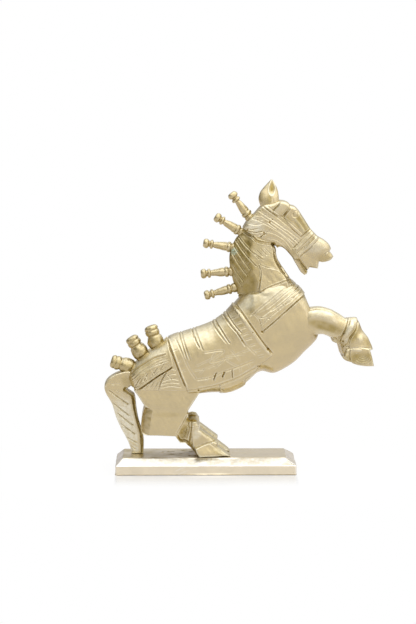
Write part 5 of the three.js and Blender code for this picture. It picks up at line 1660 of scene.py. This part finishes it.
# The plinth's colour for worn places and for the painted highlight on its chamfer.
PLINTH_WORN_AND_HIGHLIGHT = (0.895, 0.905, 0.880)
STEEL = (0.42, 0.41, 0.39)
STEEL_RUBBED = (0.6, 0.59, 0.57)
# Turned pegs and the plinth are a little glossier than the castings.
GLOSSIER = 0.04


def cast_metal(finish):
    return metal("satin_casting", finish.metal_colour, finish.crest_and_highlight_colour, finish.roughness, 0.38)


def plinth_metal(finish):
    return metal("satin_plinth", finish.plinth_colour, PLINTH_WORN_AND_HIGHLIGHT, finish.roughness - GLOSSIER, 0.4,
                 shade=0.08, rim=WHITE)


def turned_metal(finish):
    return metal("satin_turning", finish.metal_colour, finish.crest_and_highlight_colour, finish.roughness - GLOSSIER,
                 0.4, grain=0.8)


def fixing_steel(finish):
    return metal("plain_steel", STEEL, STEEL_RUBBED, 0.34, 0.2, grain=0.6, rim=WHITE)


FINISH_MAKERS = {
    "cast_metal": cast_metal, "plinth_metal": plinth_metal, "turned_metal": turned_metal,
    "fixing_steel": fixing_steel,
}
finishes = {}


def material_for(word):
    """The material of one finish, made once."""
    if word not in finishes:
        finishes[word] = FINISH_MAKERS[word](bpy.context.scene.ornament_finish)
    return finishes[word]


class OrnamentSizes(bpy.types.PropertyGroup):
    """Sizes of the carving that can be set by hand."""

    cloth_thickness: bpy.props.FloatProperty(
        name="Cloth thickness", description="How far the saddle cloth stands proud of the flank",
        default=0.0012, min=0.0, max=0.003, unit="LENGTH")
    carving_depth: bpy.props.FloatProperty(
        name="Carving depth", description="Share of the full depth that every carved line is cut to",
        default=1.25, min=0.0, max=3.0, subtype="FACTOR")
    floor_size: bpy.props.FloatProperty(
        name="Floor size", description="Length of the studio floor's sides",
        default=6.0, min=1.0, unit="LENGTH")


class OrnamentFinish(bpy.types.PropertyGroup):
    """Colours and gloss of the metal."""

    metal_colour: bpy.props.FloatVectorProperty(
        name="Metal", description="Pale gold of the castings", subtype="COLOR", size=3,
        default=(0.530, 0.400, 0.125), min=0.0, max=1.0)
    # Worn crests and painted highlights take this colour.
    crest_and_highlight_colour: bpy.props.FloatVectorProperty(
        name="Worn and highlighted metal", description="Lighter gold of the rubbed crests", subtype="COLOR", size=3,
        default=(0.722, 0.682, 0.490), min=0.0, max=1.0)
    plinth_colour: bpy.props.FloatVectorProperty(
        name="Plinth metal", description="Pale gold of the plinth", subtype="COLOR", size=3,
        default=(0.750, 0.640, 0.415), min=0.0, max=1.0)
    # Patina and painted shade take this colour.
    patina_colour: bpy.props.FloatVectorProperty(
        name="Patina", description="Deeper gold of the metal that was never rubbed", subtype="COLOR", size=3,
        default=(0.345, 0.252, 0.052), min=0.0, max=1.0)
    residue_colour: bpy.props.FloatVectorProperty(
        name="Residue", description="Brown that sits in the carving", subtype="COLOR", size=3,
        default=(0.200, 0.125, 0.015), min=0.0, max=1.0)
    roughness: bpy.props.FloatProperty(
        name="Roughness", description="How wide the metal spreads its highlights",
        default=0.5, min=0.05, max=1.0, subtype="FACTOR")


class PieceMaker:
    """What the operators share."""

    bl_options = {"REGISTER", "UNDO"}

    def execute(self, context):
        self.build(context.scene.ornament_sizes)
        return {"FINISHED"}


class ORNAMENT_OT_plinth(PieceMaker, bpy.types.Operator):
    """Make the chamfered plinth"""

    bl_idname = "ornament.plinth"
    bl_label = "Plinth"

    def build(self, sizes):
        make_object("plinth_block", plinth_casting(), "plinth_metal", "plinth")


class ORNAMENT_OT_torso(PieceMaker, bpy.types.Operator):
    """Make the torso with its saddle cloth, breast strap and crupper"""

    bl_idname = "ornament.torso"
    bl_label = "Torso and harness"

    def build(self, sizes):
        make_object("torso_carved", torso_casting(sizes), "cast_metal", "torso")


class ORNAMENT_OT_neck(PieceMaker, bpy.types.Operator):
    """Make the faceted neck with its mane lines"""

    bl_idname = "ornament.neck"
    bl_label = "Neck"

    def build(self, sizes):
        make_object("neck_carved", neck_casting(sizes), "cast_metal", "neck")


class ORNAMENT_OT_head(PieceMaker, bpy.types.Operator):
    """Make the head with its bridle and the lower jaw"""

    bl_idname = "ornament.head"
    bl_label = "Head and jaw"

    def build(self, sizes):
        make_object("head_carved", head_casting(sizes), "cast_metal", "head")
        make_object("jaw_plate", jaw_casting(), "cast_metal", "lower_jaw")


class ORNAMENT_OT_ears(PieceMaker, bpy.types.Operator):
    """Make both leaf-shaped ears"""

    bl_idname = "ornament.ears"
    bl_label = "Ears"

    def build(self, sizes):
        for word, side in SIDES:
            make_object(f"ear_leaf_{word}", ear_casting(side), "cast_metal", f"ear_{word}")


class ORNAMENT_OT_forelegs(PieceMaker, bpy.types.Operator):
    """Make both forelegs with their cuffs and hooves"""

    bl_idname = "ornament.forelegs"
    bl_label = "Forelegs"

    def build(self, sizes):
        for word, side in SIDES:
            casting = foreleg_casting(side, sizes)
            make_object(f"foreleg_carved_{word}", casting, "cast_metal", f"foreleg_{word}")


class ORNAMENT_OT_hind_legs(PieceMaker, bpy.types.Operator):
    """Make both hind legs from haunch to hoof"""

    bl_idname = "ornament.hind_legs"
    bl_label = "Hind legs"

    def build(self, sizes):
        for word, side in SIDES:
            casting = hind_leg_casting(side, sizes)
            make_object(f"hind_leg_carved_{word}", casting, "cast_metal", f"hind_leg_{word}")


class ORNAMENT_OT_tail(PieceMaker, bpy.types.Operator):
    """Make the tail with its hair lines"""

    bl_idname = "ornament.tail"
    bl_label = "Tail"

    def build(self, sizes):
        make_object("tail_carved", tail_casting(sizes), "cast_metal", "tail")


class ORNAMENT_OT_pegs(PieceMaker, bpy.types.Operator):
    """Make the turned pegs of the mane and the rump"""

    bl_idname = "ornament.pegs"
    bl_label = "Turned pegs"

    def build(self, sizes):
        for word, pegs, profile, sides, lumps, patina in PEG_SETS:
            for k, (foot_x, foot_z, aim_x, aim_z) in enumerate(pegs, 1):
                casting = lathe(profile, (foot_x, foot_z), (aim_x, aim_z), sides, PEG_SEED + k, lumps)
                # Each set's patina, and a painted highlight on the pegs' upward faces.
                casting.weather(gain=0.9, patina=patina, rubbed_and_highlit=0.4)
                make_object(f"{word}_turned_{k}", casting, "turned_metal", f"{word}_{k}")


class ORNAMENT_OT_fixings(PieceMaker, bpy.types.Operator):
    """Finish the screws and the dowel pins"""

    bl_idname = "ornament.fixings"
    bl_label = "Screws and pins"

    def build(self, sizes):
        steel = material_for("fixing_steel")
        for name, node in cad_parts.items():
            if "screw" in name or "pin" in name:
                node.data.materials.clear()
                node.data.materials.append(steel)


class ORNAMENT_OT_studio(PieceMaker, bpy.types.Operator):
    """Make the floor, the lamps, the world and the camera"""

    bl_idname = "ornament.studio"
    bl_label = "Studio"

    def build(self, sizes):
        make_floor(sizes.floor_size)
        make_world()
        make_lamps()
        make_camera()
        bpy.context.scene.view_settings.view_transform = "Standard"


# Light from level with the ornament is a little pink, and light from above is white.
LEVEL_TINT = (1.0, 0.975, 1.01, 1.0)
PURE_WHITE = (*WHITE, 1.0)
PAPER_COLOUR = (0.86, 0.855, 0.84, 1.0)
FLOOR_CELLS = 12
# How white the paper is from this near the plinth to this far from it.
PAPER_WHITENS = (0.02, 0.14, 0.9, 1.0)
# The faint sheen in front of the plinth, and how far from the plinth it has faded.
SHEEN_ROUGHNESS = 0.16
SHEEN_FADES = (0.0, 0.06, 0.4, 0.0)


def vector_step(tree, operation, vector, value=(0.0, 0.0, 0.0)):
    """One step of arithmetic on a vector."""
    node = tree.nodes.new("ShaderNodeVectorMath")
    node.operation = operation
    feed(vector, node.inputs[0])
    feed(value, node.inputs[1])
    return node.outputs["Value" if operation == "LENGTH" else "Vector"]


def distance_from_plinth(tree, place):
    """How far a place on the floor lies from the plinth's edge."""
    outward = vector_step(tree, "ABSOLUTE", place)
    outward = vector_step(tree, "SUBTRACT", outward, (PLINTH_HIGH.x, PLINTH_HIGH.y, 1.0))
    outward = vector_step(tree, "MAXIMUM", outward)
    return vector_step(tree, "LENGTH", outward)


def in_front_of_plinth(tree, place):
    """A mask of the floor straight in front of the plinth."""
    split = tree.nodes.new("ShaderNodeSeparateXYZ")
    feed(place, split.inputs[0])
    before = spread(tree, split.outputs["Y"], PLINTH_LOW.y, PLINTH_LOW.y + 0.004, 1.0, 0.0)
    sideways = maths(tree, "ABSOLUTE", split.outputs["X"])
    beside = spread(tree, sideways, PLINTH_HIGH.x - 0.003, PLINTH_HIGH.x + 0.001, 1.0, 0.0)
    return maths(tree, "MULTIPLY", before, beside)


def mixed_shader(tree, share, first, second):
    node = tree.nodes.new("ShaderNodeMixShader")
    feed(share, node.inputs[0])
    feed(first, node.inputs[1])
    feed(second, node.inputs[2])
    return node.outputs[0]


def studio_paper():
    """Paper that looks white to the camera and in reflections, and still takes the plinth's shadow."""
    material = bpy.data.materials.new("studio_paper")
    material.use_nodes = True
    tree = material.node_tree
    tree.nodes.clear()
    paper = tree.nodes.new("ShaderNodeBsdfDiffuse")
    feed(PAPER_COLOUR, paper.inputs["Color"])
    white = tree.nodes.new("ShaderNodeEmission")
    sheen = tree.nodes.new("ShaderNodeBsdfGlossy")
    feed(SHEEN_ROUGHNESS, sheen.inputs["Roughness"])
    rays = tree.nodes.new("ShaderNodeLightPath")
    tinted = blend(tree, rays.outputs["Is Camera Ray"], LEVEL_TINT, PURE_WHITE)
    feed(tinted, white.inputs["Color"])
    seen = maths(tree, "MAXIMUM", rays.outputs["Is Camera Ray"], rays.outputs["Is Glossy Ray"])
    seen = maths(tree, "MAXIMUM", seen, rays.outputs["Is Transmission Ray"])
    place = tree.nodes.new("ShaderNodeTexCoord").outputs["Object"]
    reach = distance_from_plinth(tree, place)
    whiteness = maths(tree, "MULTIPLY", seen, spread(tree, reach, *PAPER_WHITENS))
    lit = mixed_shader(tree, whiteness, paper.outputs[0], white.outputs[0])
    fading = spread(tree, reach, *SHEEN_FADES)
    gloss = maths(tree, "MULTIPLY", in_front_of_plinth(tree, place), fading)
    result = tree.nodes.new("ShaderNodeOutputMaterial")
    feed(mixed_shader(tree, gloss, lit, sheen.outputs[0]), result.inputs["Surface"])
    return material


def make_floor(size):
    """A square of paper at the height of the plinth's underside."""
    line = np.linspace(-size / 2, size / 2, FLOOR_CELLS + 1)
    points = [(x, y, PLINTH_LOW.z) for y in line for x in line]
    faces = []
    for row in range(FLOOR_CELLS):
        for column in range(FLOOR_CELLS):
            a = row * (FLOOR_CELLS + 1) + column
            faces.append((a, a + 1, a + FLOOR_CELLS + 2, a + FLOOR_CELLS + 1))
    mesh = bpy.data.meshes.new("studio_floor")
    mesh.from_pydata(points, [], faces)
    mesh.materials.append(studio_paper())
    floor = bpy.data.objects.new("studio_floor", mesh)
    bpy.context.scene.collection.objects.link(floor)


# The room's light by direction: from and to along an axis, and the strength at both.
LIGHT_FROM_LEFT_TO_RIGHT = (-0.95, 0.2, 0.26, 1.05)
LIGHT_FROM_FRONT_TO_BACK = (0.1, 0.8, 1.0, 0.6)
LIGHT_FROM_ABOVE = (0.2, 0.9, 0.0, 0.75)


def make_world():
    """White to the camera. For the metal it is a soft room, dim on the left and brighter from above."""
    world = bpy.data.worlds.new("studio_world")
    bpy.context.scene.world = world
    world.use_nodes = True
    tree = world.node_tree
    tree.nodes.clear()
    direction = tree.nodes.new("ShaderNodeTexCoord").outputs["Generated"]
    split = tree.nodes.new("ShaderNodeSeparateXYZ")
    feed(direction, split.inputs[0])
    sideways = spread(tree, split.outputs["X"], *LIGHT_FROM_LEFT_TO_RIGHT)
    back = spread(tree, split.outputs["Y"], *LIGHT_FROM_FRONT_TO_BACK)
    above = spread(tree, split.outputs["Z"], *LIGHT_FROM_ABOVE)
    room = maths(tree, "ADD", maths(tree, "MULTIPLY", sideways, back), above)
    to_camera = tree.nodes.new("ShaderNodeLightPath").outputs["Is Camera Ray"]
    strength = tree.nodes.new("ShaderNodeMix")
    strength.data_type = "FLOAT"
    feed(to_camera, strength.inputs[0])
    feed(room, strength.inputs[2])
    feed(1.0, strength.inputs[3])
    sky = tree.nodes.new("ShaderNodeBackground")
    tinted = blend(tree, spread(tree, split.outputs["Z"], 0.0, 0.6), LEVEL_TINT, PURE_WHITE)
    feed(blend(tree, to_camera, tinted, PURE_WHITE), sky.inputs["Color"])
    feed(strength.outputs[0], sky.inputs["Strength"])
    result = tree.nodes.new("ShaderNodeOutputWorld")
    feed(sky.outputs[0], result.inputs["Surface"])


# A lamp is its name, place, aim, size and power.
LAMPS = (
    ("top_softbox", (0.1, -0.25, 1.1), (0.0, 0.0, 0.15), (1.6, 1.2), 2.9),
    ("right_softbox", (1.0, -0.75, 0.55), (0.05, 0.0, 0.15), (0.6, 0.9), 1.2),
)


def make_lamps():
    """A large soft lamp over the ornament and a weak one from the front right."""
    for name, place, aim, size, power in LAMPS:
        lamp = bpy.data.lights.new(name, "AREA")
        lamp.shape = "RECTANGLE"
        lamp.size, lamp.size_y = size
        lamp.energy = power
        holder = bpy.data.objects.new(name, lamp)
        holder.location = place
        holder.rotation_euler = (Vector(aim) - Vector(place)).to_track_quat("-Z", "Y").to_euler()
        bpy.context.scene.collection.objects.link(holder)


CAMERA_DISTANCE = 1.950
CAMERA_ELEVATION = 6.95
CAMERA_AZIMUTH = -0.8
CAMERA_TARGET = (0.00256, 0.0, 0.1594)
CAMERA_LENS = 112.5


def make_camera():
    """The photograph's own view, solved from the plinth's edges."""
    elevation, azimuth = math.radians(CAMERA_ELEVATION), math.radians(CAMERA_AZIMUTH)
    level = math.cos(elevation)
    forward = Vector((-math.sin(azimuth) * level, math.cos(azimuth) * level, -math.sin(elevation)))
    data = bpy.data.cameras.new("viewer")
    data.lens = CAMERA_LENS
    data.sensor_width = 36.0
    data.clip_end = 50.0
    camera = bpy.data.objects.new("viewer", data)
    camera.location = Vector(CAMERA_TARGET) - forward * CAMERA_DISTANCE
    camera.rotation_euler = forward.to_track_quat("-Z", "Y").to_euler()
    bpy.context.scene.collection.objects.link(camera)
    bpy.context.scene.camera = camera


OPERATORS = (
    ORNAMENT_OT_studio, ORNAMENT_OT_plinth, ORNAMENT_OT_torso, ORNAMENT_OT_neck, ORNAMENT_OT_head,
    ORNAMENT_OT_ears, ORNAMENT_OT_forelegs, ORNAMENT_OT_hind_legs, ORNAMENT_OT_tail, ORNAMENT_OT_pegs,
    ORNAMENT_OT_fixings,
)


class ORNAMENT_PT_panel(bpy.types.Panel):
    """Lists the steps that build the ornament"""

    bl_label = "Ornament"
    bl_idname = "ORNAMENT_PT_panel"
    bl_space_type = "VIEW_3D"
    bl_region_type = "UI"
    bl_category = "Ornament"

    def draw(self, context):
        column = self.layout.column()
        for group in (context.scene.ornament_sizes, context.scene.ornament_finish):
            for word in group.bl_rna.properties.keys():
                if word not in ("rna_type", "name"):
                    column.prop(group, word)
        for operator in OPERATORS:
            column.operator(operator.bl_idname)


CLASSES = (OrnamentSizes, OrnamentFinish) + OPERATORS + (ORNAMENT_PT_panel,)


def register():
    for item in CLASSES:
        bpy.utils.register_class(item)
    bpy.types.Scene.ornament_sizes = bpy.props.PointerProperty(type=OrnamentSizes)
    bpy.types.Scene.ornament_finish = bpy.props.PointerProperty(type=OrnamentFinish)


def unregister():
    del bpy.types.Scene.ornament_finish
    del bpy.types.Scene.ornament_sizes
    for item in reversed(CLASSES):
        bpy.utils.unregister_class(item)


def main():
    register()
    for operator in OPERATORS:
        area, name = operator.bl_idname.split(".")
        getattr(getattr(bpy.ops, area), name)()


if __name__ == "__main__":
    main()
